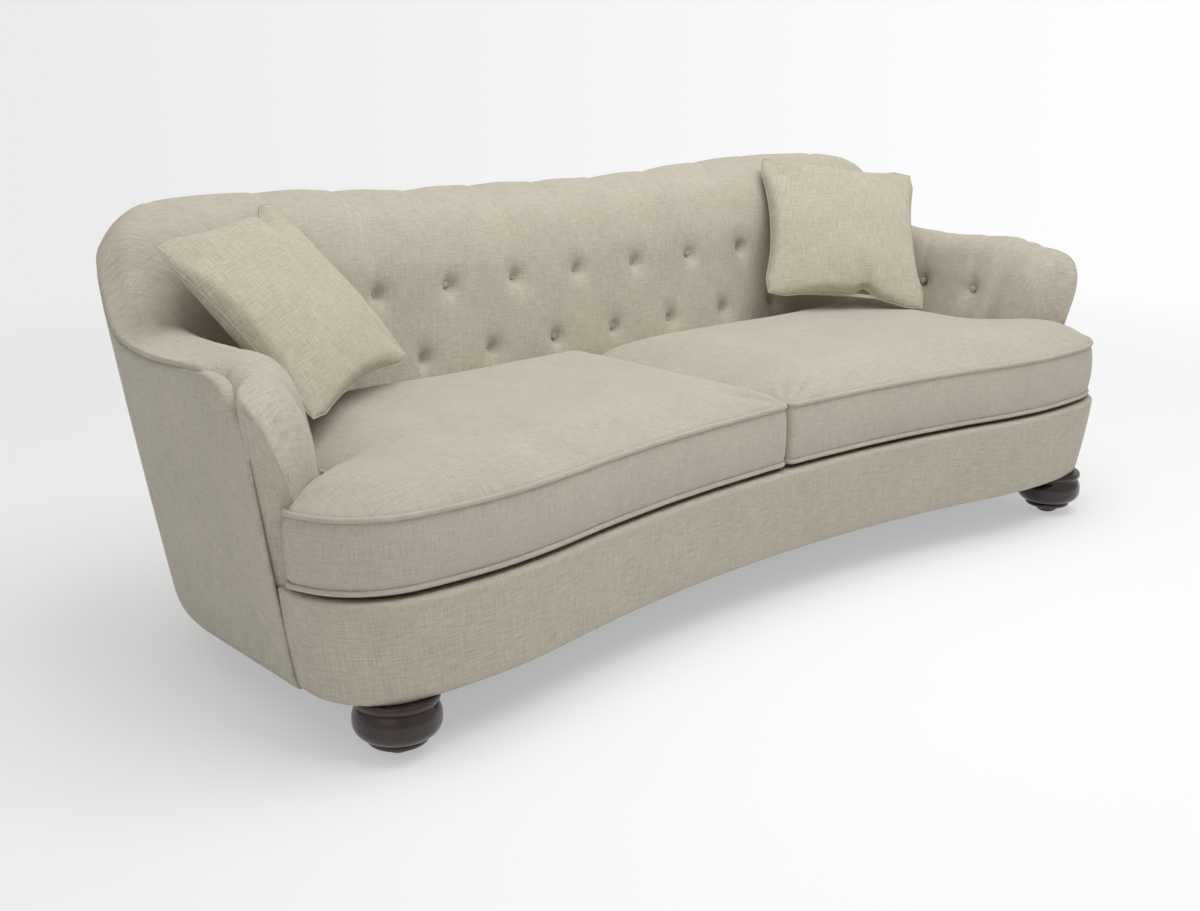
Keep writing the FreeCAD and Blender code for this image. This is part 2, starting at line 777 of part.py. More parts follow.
def cushion_edges(out, split):
    """T-shaped outline of the right seat cushion, moved outwards by `out`; `split` is its inner end."""
    o = Outline(out, EAR_HALF, EAR_CORNER, 8.0)
    start = o.front_start(split + 24)
    angle_end = -20.0
    corner_end = on_circle(o.c3, o.r3, angle_end)
    tangent = Vector(-math.sin(math.radians(angle_end)), math.cos(math.radians(angle_end)), 0)
    turn = math.radians(NOSE_TURN)
    along = Vector(-math.cos(turn), math.sin(turn), 0)
    forward = Vector(-math.sin(turn), -math.cos(turn), 0)
    on_line = Vector(1205, 92, 0) - forward * out + forward * 6
    cross = tangent.x * along.y - tangent.y * along.x
    step = ((on_line.x - corner_end.x) * along.y - (on_line.y - corner_end.y) * along.x) / cross
    ear_tip = corner_end + tangent * step
    side_x = SIDE_X + out
    notch = on_line + along * ((on_line.x - side_x) / math.cos(turn))
    rear = REAR_Y + out
    corner = Vector(side_x, rear, 0)
    back_split = Vector(split, rear, 0)
    slope = (start - o.c1).normalize()
    front_split = Vector(split, start.y + slope.x / slope.y * (start.x - split), 0)
    stops = [
        rounded(corner_end, ear_tip, notch, max(4, 14 + out)),
        rounded(ear_tip, notch, corner, 24 - out),
        rounded(notch, corner, back_split, 76 + out),
        rounded(corner, back_split, front_split, max(4, 12 + out)),
        rounded(back_split, front_split, start, max(4, 12 + out)),
    ]
    edges = [
        arc_about(o.c1, o.r1, heading(o.c1, start), o.turn12),
        arc_about(o.c2, o.r2, o.turn12 - 180, o.turn23),
        arc_about(o.c3, o.r3, o.turn23, angle_end),
    ]
    here = corner_end
    for first, middle, last in stops:
        edges.append(line(here, first))
        edges.append(arc(first, middle, last))
        here = last
    edges.append(line(here, start))
    return edges


def cushion_ring(out, z, shrink=1.0):
    split = 4 - out if out < 0 else 4 - out * 0.4
    wire = Part.Wire(cushion_edges(out, split))
    if shrink < 1:
        matrix = FreeCAD.Matrix()
        centre = Vector(570, 330, 0)
        matrix.move(-centre.x, -centre.y, 0)
        matrix.scale(shrink, shrink, 1)
        matrix.move(centre.x, centre.y, 0)
        wire = wire.transformGeometry(matrix)
    wire.translate(Vector(0, 0, z))
    return wire


LOW = size("low_piping")
TOP = size("top_piping")
CROWN = size("crown")


def cushion_solid(inset):
    bulge = 6.0 if inset == 0 else 5.0
    bottom = DECK + 0.6 + inset
    middle = (LOW + TOP) / 2
    rings = [(-12 - inset, bottom, 1), (-inset, LOW + inset * 0.6, 1), (bulge - inset, middle - 20, 1),
             (bulge - inset, middle + 20, 1), (-inset, TOP - inset * 0.6, 1)]
    crown = [(0.96, 0.24), (0.88, 0.50), (0.76, 0.72), (0.60, 0.88), (0.38, 0.97), (0.16, 1.0)]
    rings += [(-inset, TOP + (CROWN - inset) * rise, shrink) for shrink, rise in crown]
    return loft([cushion_ring(*r) for r in rings], True)


def piping_loop(out, z, radius):
    path = Part.Wire(cushion_edges(out, 6.4))
    path.translate(Vector(0, 0, z))
    first = path.Edges[0]
    start = first.valueAt(first.FirstParameter)
    tangent = first.tangentAt(first.FirstParameter)
    circle = Part.Wire(Part.makeCircle(radius, start, tangent))
    return path.makePipeShell([circle], True, False)


PIPE = size("piping_radius")
WRAP = 14.0


def zip_piece(clear):
    # Zip tape let into the rear boxing.
    corner = Vector(200 - clear, REAR_Y - 1 - clear, 382 - clear)
    return Part.makeBox(700 + 2 * clear, 5.5 + 8 * clear, 26 + 2 * clear, corner)


def seat_cushion():
    outer = cushion_solid(0)
    core = cushion_solid(WRAP)
    cover = outer.cut(cushion_solid(WRAP - GAP))
    pipes = [piping_loop(1, LOW, PIPE), piping_loop(1, TOP, PIPE)]
    for z in (LOW, TOP):
        cover = cover.cut(piping_loop(1, z, PIPE + 0.25))
    zip_shape = zip_piece(0)
    cover = cover.cut(zip_piece(0.2))
    return cover, core, Part.makeCompound(pipes), zip_shape


cover, core, pipes, zip_shape = seat_cushion()
pair("seat_cover", cover)
pair("seat_core", core)
pair("seat_piping", pipes)
pair("seat_zip", zip_shape)


# Throw pillows: knife edge, sides drawn in between the corners
def pillow_ring(shrink, z, half):
    reach = half * shrink
    draw_in = 15.0 * shrink
    tip = 10.0
    corners = [Vector(a * reach, b * reach, z) for a, b in ((-1, -1), (1, -1), (1, 1), (-1, 1))]
    edges = []
    for i, corner in enumerate(corners):
        after = corners[(i + 1) % 4]
        run = (after - corner).normalize()
        inward = Vector(-run.y, run.x, 0)
        first = corner + run * tip
        last = after - run * tip
        middle = (corner + after) * 0.5 + inward * draw_in
        edges.append(arc(first, middle, last))
        following = (corners[(i + 2) % 4] - after).normalize()
        edges.append(line(last, after + following * tip))
    return Part.Wire(edges)


def pillow_solid(inset):
    half = size("pillow_side") / 2 - inset
    thick = size("pillow_thick") / 2 - inset
    rings = [(0.30, -1.0), (0.55, -0.92), (0.74, -0.74), (0.88, -0.48), (0.965, -0.2)]
    steps = rings + [(1.0, 0.0)] + [(s, -t) for s, t in reversed(rings)]
    return loft([pillow_ring(s, t * thick, half) for s, t in steps], True)


def pillow_place(centre, right, up):
    x = Vector(*right).normalize()
    y = (Vector(*up) - x * x.dot(Vector(*up))).normalize()
    z = x.cross(y)
    turn = FreeCAD.Matrix(x.x, y.x, z.x, centre[0], x.y, y.y, z.y, centre[1],
                          x.z, y.z, z.z, centre[2], 0, 0, 0, 1)
    return Placement(turn)


PILLOWS = [
    ("right", pillow_place((822, 568, 716), (0.824, -0.554, -0.120), (0.435, 0.482, 0.760))),
    ("left", pillow_place((-907, 556, 717), (0.845, 0.529, 0.078), (-0.410, 0.547, 0.730))),
]
half_side = size("pillow_side") / 2
pillow_zip = Part.makeBox(300, 10, 3, Vector(-150, -half_side + 16, -1.5))
pillow_cover = pillow_solid(0).cut(pillow_solid(4 - GAP)).cut(
    Part.makeBox(300.4, 10.4, 3.4, Vector(-150.2, -half_side + 15.8, -1.7)))
pillow_filling = pillow_solid(4).cut(Part.makeBox(301, 20, 4, Vector(-150.5, -half_side + 7, -2)))
for side_name, place in PILLOWS:
    feature("pillow_cover_" + side_name, set_at(pillow_cover, place))
    feature("pillow_filling_" + side_name, set_at(pillow_filling, place))
    feature("pillow_zip_" + side_name, set_at(pillow_zip, place))


# Feet: turned buns, each on a hanger bolt through a steel plate
def foot_profile():
    def p(r, z):
        return Vector(r, z, 0)

    bore = size("bolt_radius") + 0.3
    return [
        line(p(0, 3), p(24.5, 3)), line(p(24.5, 3), p(33, 14)), arc(p(33, 14), p(42, 17), p(52, 19)),
        arc(p(52, 19), p(57, 25), p(52, 31)), arc(p(52, 31), p(74, 41), p(81.5, 64)),
        arc(p(81.5, 64), p(79.5, 80), p(73, 92)), arc(p(73, 92), p(74, 94.5), p(75.5, 97)),
        arc(p(75.5, 97), p(79, 104.5), p(76, 112.5)), line(p(76, 112.5), p(34, 112.5)),
        line(p(34, 112.5), p(34, 120.5)),
        line(p(34, 120.5), p(bore, 120.5)),
        line(p(bore, 120.5), p(bore, 72)),
        line(p(bore, 72), p(0, 72)), line(p(0, 72), p(0, 3)),
    ]


for label, x, y in FEET:
    foot = turned(label, foot_profile(), Placement(SHIFT + Vector(x, y, 0), Rotation()))
    keep(foot, label)

bolts = [Part.makeCylinder(size("bolt_radius"), 96, Vector(x, y, 76)) for _, x, y in FEET]
feature("foot_bolts", Part.makeCompound(bolts))
plates = []
for _, x, y in FEET:
    plate = Part.makeCylinder(FOOT_PLATE, 3, Vector(x, y, RAIL_Z - 3.2))
    plates.append(plate.cut(Part.makeCylinder(size("bolt_radius") + 0.3, 5, Vector(x, y, RAIL_Z - 4))))
feature("foot_plates", Part.makeCompound(plates))
board("centre_leg", 50, 50, RAIL_Z - 3, (-25, 405, 3))
glides = [Part.makeCylinder(19, 2.9, Vector(x, y, 0)) for _, x, y in FEET]
glides.append(Part.makeCylinder(15, 2.9, Vector(0, 430, 0)))
feature("foot_glides", Part.makeCompound(glides))

# Every object is checked before any file is written
doc.recompute()
failed = [o.Name for o in doc.Objects if "Invalid" in o.State or "Error" in o.State]
for obj in PARTS:
    shape = obj.Shape
    if shape.isNull() or not shape.isValid() or not shape.Solids:
        failed.append(obj.Label)
if failed:
    raise SystemExit("not written, failed: " + ", ".join(failed))

box = FreeCAD.BoundBox()
for obj in PARTS:
    obj.Shape.exportStep(os.path.join("parts", obj.Label + ".step"))
    box.add(obj.Shape.BoundBox)
limits = (box.XMin, box.XMax, box.YMin, box.YMax, box.ZMin, box.ZMax)
print(len(PARTS), "parts; box", [round(v, 1) for v in limits])
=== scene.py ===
# %% [markdown]
# A long sofa with a hollow, serpentine front, low arms that flare outwards and a buttoned back
# that rises at both rear corners. The timber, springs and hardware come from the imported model.
# Everything made of cloth is modelled here, because cloth needs crowns, pleats and weave.

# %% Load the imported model
import bmesh
import bpy
import json
import math
from mathutils import Matrix, Vector, noise


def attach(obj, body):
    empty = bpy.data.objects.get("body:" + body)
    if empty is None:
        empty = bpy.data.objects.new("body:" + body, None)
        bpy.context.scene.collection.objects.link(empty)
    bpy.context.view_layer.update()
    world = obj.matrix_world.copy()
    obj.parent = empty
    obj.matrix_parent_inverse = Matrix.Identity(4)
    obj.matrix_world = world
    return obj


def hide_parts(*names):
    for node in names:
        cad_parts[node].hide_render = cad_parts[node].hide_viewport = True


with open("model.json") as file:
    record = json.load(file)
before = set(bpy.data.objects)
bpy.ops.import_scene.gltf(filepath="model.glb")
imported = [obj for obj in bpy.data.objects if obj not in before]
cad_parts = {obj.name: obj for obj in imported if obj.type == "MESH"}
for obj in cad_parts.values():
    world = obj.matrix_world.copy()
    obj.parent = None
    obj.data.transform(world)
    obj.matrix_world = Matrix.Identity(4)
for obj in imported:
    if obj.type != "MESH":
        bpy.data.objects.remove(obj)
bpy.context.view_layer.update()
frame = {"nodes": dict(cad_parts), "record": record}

# %% [markdown]
# The picture is taken from the left, a little above the arms. A lens of 43.5 mm on a 36 mm sensor
# gives the same perspective. The camera is made first so that every later step can be looked at.

# %% Camera
camera = bpy.data.objects.new("camera", bpy.data.cameras.new("camera"))
bpy.context.scene.collection.objects.link(camera)
camera.data.sensor_width = 36
camera.data.lens = 43.5
camera.location = (-2.3412, -2.4661, 1.2262)
camera.rotation_euler = (math.radians(74.036), 0, math.radians(-41.318))
bpy.context.scene.camera = camera
print("camera", tuple(camera.location))

# %% [markdown]
# Shader maths reads best as plain sums. `Value` wraps one socket, so that adding or multiplying
# two of them adds a Math node, and `Paint.node` makes every other kind of node. The four
# numbers name outputs of the Texture Coordinate and Light Path nodes.

# %% Shader helpers
class Value:
    """One output socket of a shader, usable in sums."""

    def __init__(self, paint, socket):
        self.paint = paint
        self.socket = socket

    def maths(self, operation, other, swapped=False):
        pair = (other, self) if swapped else (self, other)
        return self.paint.node("ShaderNodeMath", {"operation": operation}, dict(enumerate(pair)))

    def __add__(self, other):
        return self.maths("ADD", other)

    __radd__ = __add__

    def __mul__(self, other):
        return self.maths("MULTIPLY", other)

    __rmul__ = __mul__

    def __sub__(self, other):
        return self.maths("SUBTRACT", other)

    def __rsub__(self, other):
        return self.maths("SUBTRACT", other, swapped=True)


GENERATED, OBJECT = 0, 3
CAMERA_RAY, GLOSSY_RAY = 0, 3


class Paint:
    """The nodes of one material, or of the world."""

    def __init__(self, owner):
        self.owner = owner
        owner.use_nodes = True
        self.tree = owner.node_tree
        self.tree.nodes.clear()

    def node(self, kind, settings=None, inputs=None, output=0):
        made = self.tree.nodes.new(kind)
        for key, value in (settings or {}).items():
            setattr(made, key, value)
        for key, value in (inputs or {}).items():
            if isinstance(value, Value):
                self.tree.links.new(value.socket, made.inputs[key])
            else:
                made.inputs[key].default_value = value
        return Value(self, made.outputs[output]) if len(made.outputs) else None

    def coordinates(self, output):
        return self.node("ShaderNodeTexCoord", None, None, output)

    def ray(self, output):
        return self.node("ShaderNodeLightPath", None, None, output)

    def clamp(self, value):
        return self.node("ShaderNodeClamp", None, {0: value})

    def vector(self, operation, one, two=(0, 0, 0), output=0):
        settings = {"operation": operation}
        return self.node("ShaderNodeVectorMath", settings, {0: one, 1: two}, output)

    def ramp(self, factor, stops):
        made = self.node("ShaderNodeValToRGB", None, {0: factor})
        elements = made.socket.node.color_ramp.elements
        while len(elements) < len(stops):
            elements.new(1)
        for element, (place, colour) in zip(elements, stops):
            element.position = place
            element.color = (*colour, 1)
        return made

    def noise(self, where, scale, detail=2.0, rough=0.5):
        settings = {"noise_dimensions": "3D"}
        inputs = {"Vector": where, "Scale": scale, "Detail": detail, "Roughness": rough}
        return self.node("ShaderNodeTexNoise", settings, inputs)

    def stretched(self, where, scale):
        settings = {"vector_type": "POINT"}
        return self.node("ShaderNodeMapping", settings, {"Vector": where, "Scale": scale})

    def mix(self, factor, one, two):
        # Sockets 6 and 7 are the two colours, and output 2 is their mix.
        inputs = {0: factor}
        for key, colour in ((6, one), (7, two)):
            inputs[key] = colour if isinstance(colour, Value) else (*colour, 1)
        return self.node("ShaderNodeMix", {"data_type": "RGBA"}, inputs, 2)

    def bump(self, height, strength, distance):
        inputs = {"Height": height, "Strength": strength, "Distance": distance}
        return self.node("ShaderNodeBump", None, inputs)

    def finish(self, **sockets):
        inputs = {}
        for key, value in sockets.items():
            if isinstance(value, tuple) and len(value) == 3:
                value = (*value, 1)
            inputs[key.replace("_", " ")] = value
        shader = self.node("ShaderNodeBsdfPrincipled", None, inputs)
        self.node("ShaderNodeOutputMaterial", None, {"Surface": shader})
        return self.owner


def srgb(red, green, blue):
    """A colour given in steps of 0 to 255, as the linear numbers that a shader takes."""
    return tuple(((c / 255 + 0.055) / 1.055) ** 2.4 for c in (red, green, blue))


print("shader helpers ready")

# %% [markdown]
# Studio paper: one pale floor that runs out of sight. Near the sofa it is partly plain paper, which
# takes the soft shadow, and partly the tone of the page. Further out only that tone is seen, and
# the world repeats it, so no horizon shows.

# %% Floor and sky
ACROSS = (0.751, -0.660, 0.0)
TO_STAND = (2.34, 2.47, 0)


def greys(*stops):
    return [(place, srgb(tone, tone, tone)) for place, tone in stops]


# Both ramps run from darker on the left to white on the right: painted shade across the floor's
# glow and the backdrop.
NEAR = greys((0.05, 243), (0.45, 252), (0.70, 255), (1.0, 255))
PAGE = greys((0.05, 235), (0.45, 244), (0.75, 251), (1.0, 255))


def page_tone(paint, direction, stops):
    """The page is a little darker on the left, which is painted shade; the tone depends on a
    direction in the room.
    """
    flat = paint.vector("NORMALIZE", direction)
    across = paint.vector("DOT_PRODUCT", flat, ACROSS, output=1)
    return paint.ramp(across * 1.3 + 0.5, stops)


def paper():
    paint = Paint(bpy.data.materials.new("studio_paper"))
    where = paint.coordinates(OBJECT)
    direction = paint.vector("ADD", where, TO_STAND)
    far = paint.clamp(paint.vector("LENGTH", where, output=1) * 0.30 - 0.40)
    tone = paint.mix(far, page_tone(paint, direction, NEAR), page_tone(paint, direction, PAGE))
    base = paint.node("ShaderNodeBsdfDiffuse", None, {"Color": (0.92, 0.92, 0.92, 1)})
    glow = paint.node("ShaderNodeEmission", None, {"Color": tone, "Strength": 1.0})
    rays = {0: paint.ray(CAMERA_RAY), 1: paint.ray(GLOSSY_RAY)}
    seen = paint.node("ShaderNodeMath", {"operation": "MAXIMUM"}, rays)
    share = seen * (far * 0.58 + 0.42)
    both = paint.node("ShaderNodeMixShader", None, {0: share, 1: base, 2: glow})
    paint.node("ShaderNodeOutputMaterial", None, {"Surface": both})
    return paint.owner


def show(bm, name, material, smooth=True):
    """Turns a finished bmesh into an object of the scene."""
    mesh = bpy.data.meshes.new(name)
    bm.to_mesh(mesh)
    bm.free()
    for face in mesh.polygons:
        face.use_smooth = smooth
    mesh.materials.append(material)
    made = bpy.data.objects.new(name, mesh)
    bpy.context.scene.collection.objects.link(made)
    return made


bm = bmesh.new()
bmesh.ops.create_grid(bm, x_segments=4, y_segments=4, size=30)
floor = show(bm, "floor", paper(), smooth=False)

world = bpy.data.worlds.new("studio")
bpy.context.scene.world = world
sky = Paint(world)
light = sky.node("ShaderNodeBackground", None, {"Color": (1, 1, 1, 1), "Strength": 0.53})
# Camera rays see the same painted shade here, darker on the left.
tone = page_tone(sky, sky.coordinates(GENERATED), PAGE)
page = sky.node("ShaderNodeBackground", None, {"Color": tone})
both = sky.node("ShaderNodeMixShader", None, {0: sky.ray(CAMERA_RAY), 1: light, 2: page})
sky.node("ShaderNodeOutputWorld", None, {"Surface": both})
bpy.context.scene.view_settings.view_transform = "Standard"
print("floor and sky ready")

# %% [markdown]
# Three large soft lamps. The main one hangs over the front of the seat, so the seat tops are the
# brightest surfaces and the outside of the left arm the darkest; the two at the sides only fill.

# %% Lamps
def lamp(name, place, aim, size, power):
    data = bpy.data.lights.new(name, "AREA")
    data.shape = "SQUARE"
    data.size = size
    data.energy = power
    made = bpy.data.objects.new(name, data)
    made.location = place
    made.rotation_euler = (Vector(aim) - Vector(place)).to_track_quat("-Z", "Y").to_euler()
    bpy.context.scene.collection.objects.link(made)


lamp("lamp_over", (0.3, -0.9, 3.6), (0, 0.1, 0.4), 3.2, 88)
lamp("lamp_left", (-3.6, -1.6, 2.6), (0, 0, 0.5), 2.6, 7)
lamp("lamp_right", (4.2, 0.4, 2.6), (0, 0, 0.5), 2.4, 5)
print("lamps ready")

# %% [markdown]
# Oatmeal linen. Flax yarn is uneven, so the cloth shows short thick threads both ways. Long thin
# noise along each thread direction gives those slubs, and a slow noise gives the drift of shade.
# It reads the piece's own UV map, which every cloth piece here carries in metres of cloth.

# %% Linen
SLUB, YARN = (420, 26), (1500, 190)


def both_ways(paint, cloth, scale, detail, rough):
    """Noise drawn out along the warp, plus the same along the weft."""
    thin, long = scale
    warp = paint.noise(paint.stretched(cloth, (thin, long, 1)), 1, detail, rough)
    return warp + paint.noise(paint.stretched(cloth, (long, thin, 1)), 1, detail, rough)


def linen(name, dark, pale, slub=1.0):
    paint = Paint(bpy.data.materials.new(name))
    cloth = paint.node("ShaderNodeUVMap", {"uv_map": "cloth"})
    slubs = both_ways(paint, cloth, SLUB, 3, 0.6)
    yarns = both_ways(paint, cloth, YARN, 1, 0.5)
    drift = paint.noise(paint.stretched(cloth, (7, 7, 7)), 1, 3, 0.6)
    threads = slubs * (0.60 * slub) + yarns * 0.25 + drift * 0.18
    # The average of the three is taken off before the contrast is set.
    shade = (threads - (0.60 * slub + 0.25 + 0.09)) * 2.1 + 0.5
    colour = paint.mix(paint.clamp(shade), dark, pale)
    height = yarns * 0.6 + slubs * 0.5
    rough = 0.92 - drift * 0.08
    return paint.finish(
        Base_Color=colour, Roughness=rough, Normal=paint.bump(height, 0.35, 0.0007),
        Sheen_Weight=0.12, Sheen_Roughness=0.5, Specular_IOR_Level=0.18)


sofa_linen = linen("sofa_linen", srgb(160, 154, 139), srgb(204, 197, 181))
seat_linen = linen("seat_linen", srgb(161, 155, 142), srgb(203, 196, 182), 0.8)
pillow_linen = linen("pillow_linen", srgb(160, 153, 136), srgb(206, 199, 181))
print("linen ready")

# %% [markdown]
# The plan of the sofa. The front is three tangent arcs: a hollow one in the middle, a full one at
# each end and the corner. The back is a straight line and two arcs. `back_path` walks from the
# middle of the back, round the corner and forwards along the arm. `HALF` is half the width at the
# base, `DEPTH` how far the origin lies behind the front, and `BASE` and `DECK` are the heights of
# the lower edge and of the seat deck. `CREST`, `FACE` and `BACKNESS` give, along that path, the
# height of the top, the place of the inner face and how much of the section is back, not arm.

# %% Plan of the sofa
HALF = 1.174
DEPTH = 0.4477
BASE = 0.113
DECK = 0.320
SIDE_END = 0.45
SLOW, FAST = 0.7, 0.3
TURN = math.radians(20)
SLOW_CENTRE = Vector((HALF - SLOW, SIDE_END, 0))
FAST_CENTRE = SLOW_CENTRE + Vector((math.cos(TURN), math.sin(TURN), 0)) * (SLOW - FAST)
BACK_Y = FAST_CENTRE.y + FAST
FAST_START = FAST_CENTRE.x
SLOW_START = FAST_START + FAST * (math.pi / 2 - TURN)
SIDE_START = SLOW_START + SLOW * TURN


def back_path(s):
    """Point of the base outline `s` metres along the path, and its outward direction."""
    if s <= FAST_START:
        return Vector((s, BACK_Y, 0)), Vector((0, 1, 0))
    if s >= SIDE_START:
        return Vector((HALF, SIDE_END - (s - SIDE_START), 0)), Vector((1, 0, 0))
    if s <= SLOW_START:
        angle, centre, radius = math.pi / 2 - (s - FAST_START) / FAST, FAST_CENTRE, FAST
    else:
        angle, centre, radius = TURN - (s - SLOW_START) / SLOW, SLOW_CENTRE, SLOW
    outward = Vector((math.cos(angle), math.sin(angle), 0))
    return centre + outward * radius, outward


def lean(z):
    return 0.148 * (z - BASE)


def ease(knots, x):
    """A smooth line through the knots, with no overshoot between them."""
    if x <= knots[0][0]:
        return knots[0][1]
    if x >= knots[-1][0]:
        return knots[-1][1]
    i = max(j for j, knot in enumerate(knots) if knot[0] <= x)
    i = min(i, len(knots) - 2)

    def slope(j):
        if j <= 0 or j >= len(knots) - 1:
            return 0.0
        a = (knots[j][1] - knots[j - 1][1]) / (knots[j][0] - knots[j - 1][0])
        b = (knots[j + 1][1] - knots[j][1]) / (knots[j + 1][0] - knots[j][0])
        return 0.0 if a * b <= 0 else 2 * a * b / (a + b)

    (x0, y0), (x1, y1) = knots[i], knots[i + 1]
    h = x1 - x0
    t = (x - x0) / h
    rise = (3 - 2 * t) * t * t
    return y0 + (y1 - y0) * rise + h * t * (1 - t) * (slope(i) * (1 - t) - slope(i + 1) * t)


CREST = [(0, 0.880), (0.4, 0.886), (0.65, 0.899), (0.853, 0.905), (1.007, 0.905),
         (1.086, 0.896), (1.138, 0.874), (1.175, 0.833), (1.206, 0.776), (1.265, 0.724),
         (1.339, 0.701), (1.461, 0.695), (1.581, 0.701), (1.77, 0.712)]
FACE = [(0.853, -0.212), (0.928, -0.209), (1.007, -0.198), (1.086, -0.175), (1.138, -0.146),
        (1.175, -0.127), (1.206, -0.118), (1.265, -0.117), (1.339, -0.130), (1.461, -0.139)]
BACKNESS = [(1.007, 1.0), (1.217, 0.25), (1.363, 0.0)]
print("path from the middle of the back to the arm", round(SIDE_START, 3))

# %% [markdown]
# The padded inside of the sofa is one run of cloth: up the arm, over its roll, round the corner
# and along the back. At each step along the path a smooth section is drawn through nine points.
# On the real piece the wadding gives this roll; here the numbers are read off the outline.

# %% Sections of the padding
SEAT = 0.46


def even_path(points, count, closed=False):
    """`count` evenly spaced points along a line of straight runs, and its length."""
    points = points + points[:1] if closed else points
    reach = [0.0]
    for a, b in zip(points, points[1:]):
        reach.append(reach[-1] + (b - a).length)
    total = count if closed else count - 1
    made, j = [], 0
    for i in range(count):
        want = reach[-1] * i / total
        while j < len(points) - 2 and reach[j + 1] < want:
            j += 1
        part = (want - reach[j]) / max(1e-9, reach[j + 1] - reach[j])
        made.append(points[j].lerp(points[j + 1], part))
    return made, reach[-1]


def even_line(keys, count):
    """The same along a smooth line through the keys."""
    around = [keys[0] * 2 - keys[1]] + keys + [keys[-1] * 2 - keys[-2]]
    fine = []
    for a, b, c, d in zip(around, around[1:], around[2:], around[3:]):
        for step in range(10):
            t = step / 10
            fine.append((b * 2 + (c - a) * t + (a * 2 - b * 5 + c * 4 - d) * t ** 2
                         + (b * 3 - a - c * 3 + d) * t ** 3) / 2)
    return even_path(fine + [keys[-1]], count)


def seam_height(s):
    return ease(CREST, s) - 0.026 - 0.064 * ease(BACKNESS, s)


def roll_keys(s, hem=None):
    """Inner face, crest and outer roll at `s`, as (outward, height), to the seam or a hem."""
    top, low, k = ease(CREST, s), ease(FACE, s), ease(BACKNESS, s)
    rise = top - SEAT
    seam = seam_height(s)
    keys = [(low, DECK), (low, SEAT), (low + 0.020 + 0.012 * k, SEAT + 0.36 * rise)]
    keys.append((low + 0.042 + 0.024 * k, SEAT + 0.68 * rise))
    keys.append((low + 0.072 + 0.050 * k, SEAT + 0.90 * rise))
    keys.append((low + 0.124 + 0.100 * k, top))
    keys.append((lean(seam) - 0.024 + 0.003 * k, top - 0.011 - 0.010 * k))
    keys.append((lean(seam) + 0.003, seam + 0.012))
    if hem is None or seam - hem < 0.03:
        keys.append((lean(seam) - 0.006, seam - 0.004))
    else:
        keys.append((lean(seam - 0.02) - 0.006, seam - 0.02))
        keys.append((lean((seam + hem) / 2) - 0.008, (seam + hem) / 2))
        keys.append((lean(hem) - 0.008, hem))
    return [Vector((n, z, 0)) for n, z in keys]


print("crest over the arm", round(ease(CREST, 1.6), 3), "and corner", round(ease(CREST, 0.95), 3))

# %% [markdown]
# The nose of the arm turns thirty degrees towards the middle and closes in a rounded front.
# The same section is turned, lowered and narrowed as it nears the front plane, and the last few
# sections shrink inside that plane, so the cloth closes without a separate cap. It narrows towards
# a line `PIVOT` inside the outer face.

# %% Nose of the arm
NOSE_BACK = 0.132
NOSE_TURN = math.radians(30)
NOSE_S = SIDE_START + SIDE_END - 0.24
PIVOT = 0.07


def quarter(distance, radius):
    """How far a rounded edge has dropped back at this distance behind the front plane."""
    if distance >= radius:
        return 0.0
    return 1 - math.sqrt(max(0.0, 1 - (1 - distance / radius) ** 2))


def nose_section(distance, shrink, count):
    """Points of the section `distance` behind the front plane; `shrink` closes the front."""
    turned = min(1.0, (NOSE_BACK - distance) / (NOSE_BACK - 0.04))
    turn = NOSE_TURN * turned
    y = 0.1285 + 0.1115 * (1 - turned)
    ahead = max(0.0, 0.04 - distance) * 1.25
    drop = 0.10 * quarter(distance, 0.10)
    hem = 0.66 - (0.66 - DECK) * min(1.0, turned * 1.25) ** 1.6
    flat, length = even_line(roll_keys(NOSE_S, hem), count)
    along = Vector((math.cos(turn), -math.sin(turn), 0))
    forward = Vector((-math.sin(turn), -math.cos(turn), 0))
    side_in = 0.034 * quarter(distance, 0.070)
    points = []
    for p in flat:
        z = p.y - drop * max(0.0, (p.y - 0.50) / 0.21)
        edge = lean(z) - 0.008
        across = p.x - edge + PIVOT
        n = across * (1 - side_in / PIVOT * (0.12 if across > 0 else 1.0)) * shrink - PIVOT
        z = DECK - 0.014 * turned + (z - DECK) * (0.25 + 0.75 * shrink)
        dome = math.sin(math.pi * min(1, max(0, (z - 0.33) / 0.36)))
        puff = 0.034 * math.sqrt(1 - shrink ** 2) * dome
        upright = math.tan(turn) * (lean(z) - lean(0.5))
        start = Vector((HALF + edge + 0.011 * turned, y - upright, z))
        points.append(start + along * n + forward * (ahead + puff))
    return points, length


DISTANCES = [0.120, 0.108, 0.097, 0.086, 0.076, 0.066, 0.057, 0.048, 0.040, 0.033, 0.027, 0.021,
             0.016, 0.011, 0.007, 0.0035, 0.0012, 0.0]
SHRINKS = [0.9, 0.76, 0.6, 0.42, 0.22, 0.02]
print("nose sections", len(DISTANCES) + len(SHRINKS))

# %% [markdown]
# Buttoning pulls the cloth down to the webbing. Each button leaves a dimple; from the upper row a
# pleat runs up over the crest, and soft folds join the two rows in diamonds. All of it is written
# as a depth over the cloth: `s` goes along the path, `v` up the section, and `z_face` turns a
# height into a place up the section.

# %% Buttons and pleats
PITCH = 0.196
UPPER_Z, LOWER_Z, ARM_Z = 0.680, 0.524, 0.564
ARM_PLACES = (0.297, 0.470)
UPPER_ROW = [(k * PITCH, UPPER_Z) for k in range(-3, 4)]
LOWER_ROW = [((k + 0.5) * PITCH, LOWER_Z) for k in range(-4, 4)]
ARM_ROW = [(side * (SIDE_START + SIDE_END - y), ARM_Z) for side in (-1, 1) for y in ARM_PLACES]


def dent(distance, width):
    """A round hollow."""
    return math.exp(-(distance / width) ** 2)


def crease(away, width):
    """A sharp fold."""
    return math.exp(-abs(away) / width)


def climb(v, start, length):
    """Rises from 0 to 1 over a length."""
    return min(1.0, max(0.0, (v - start) / length))


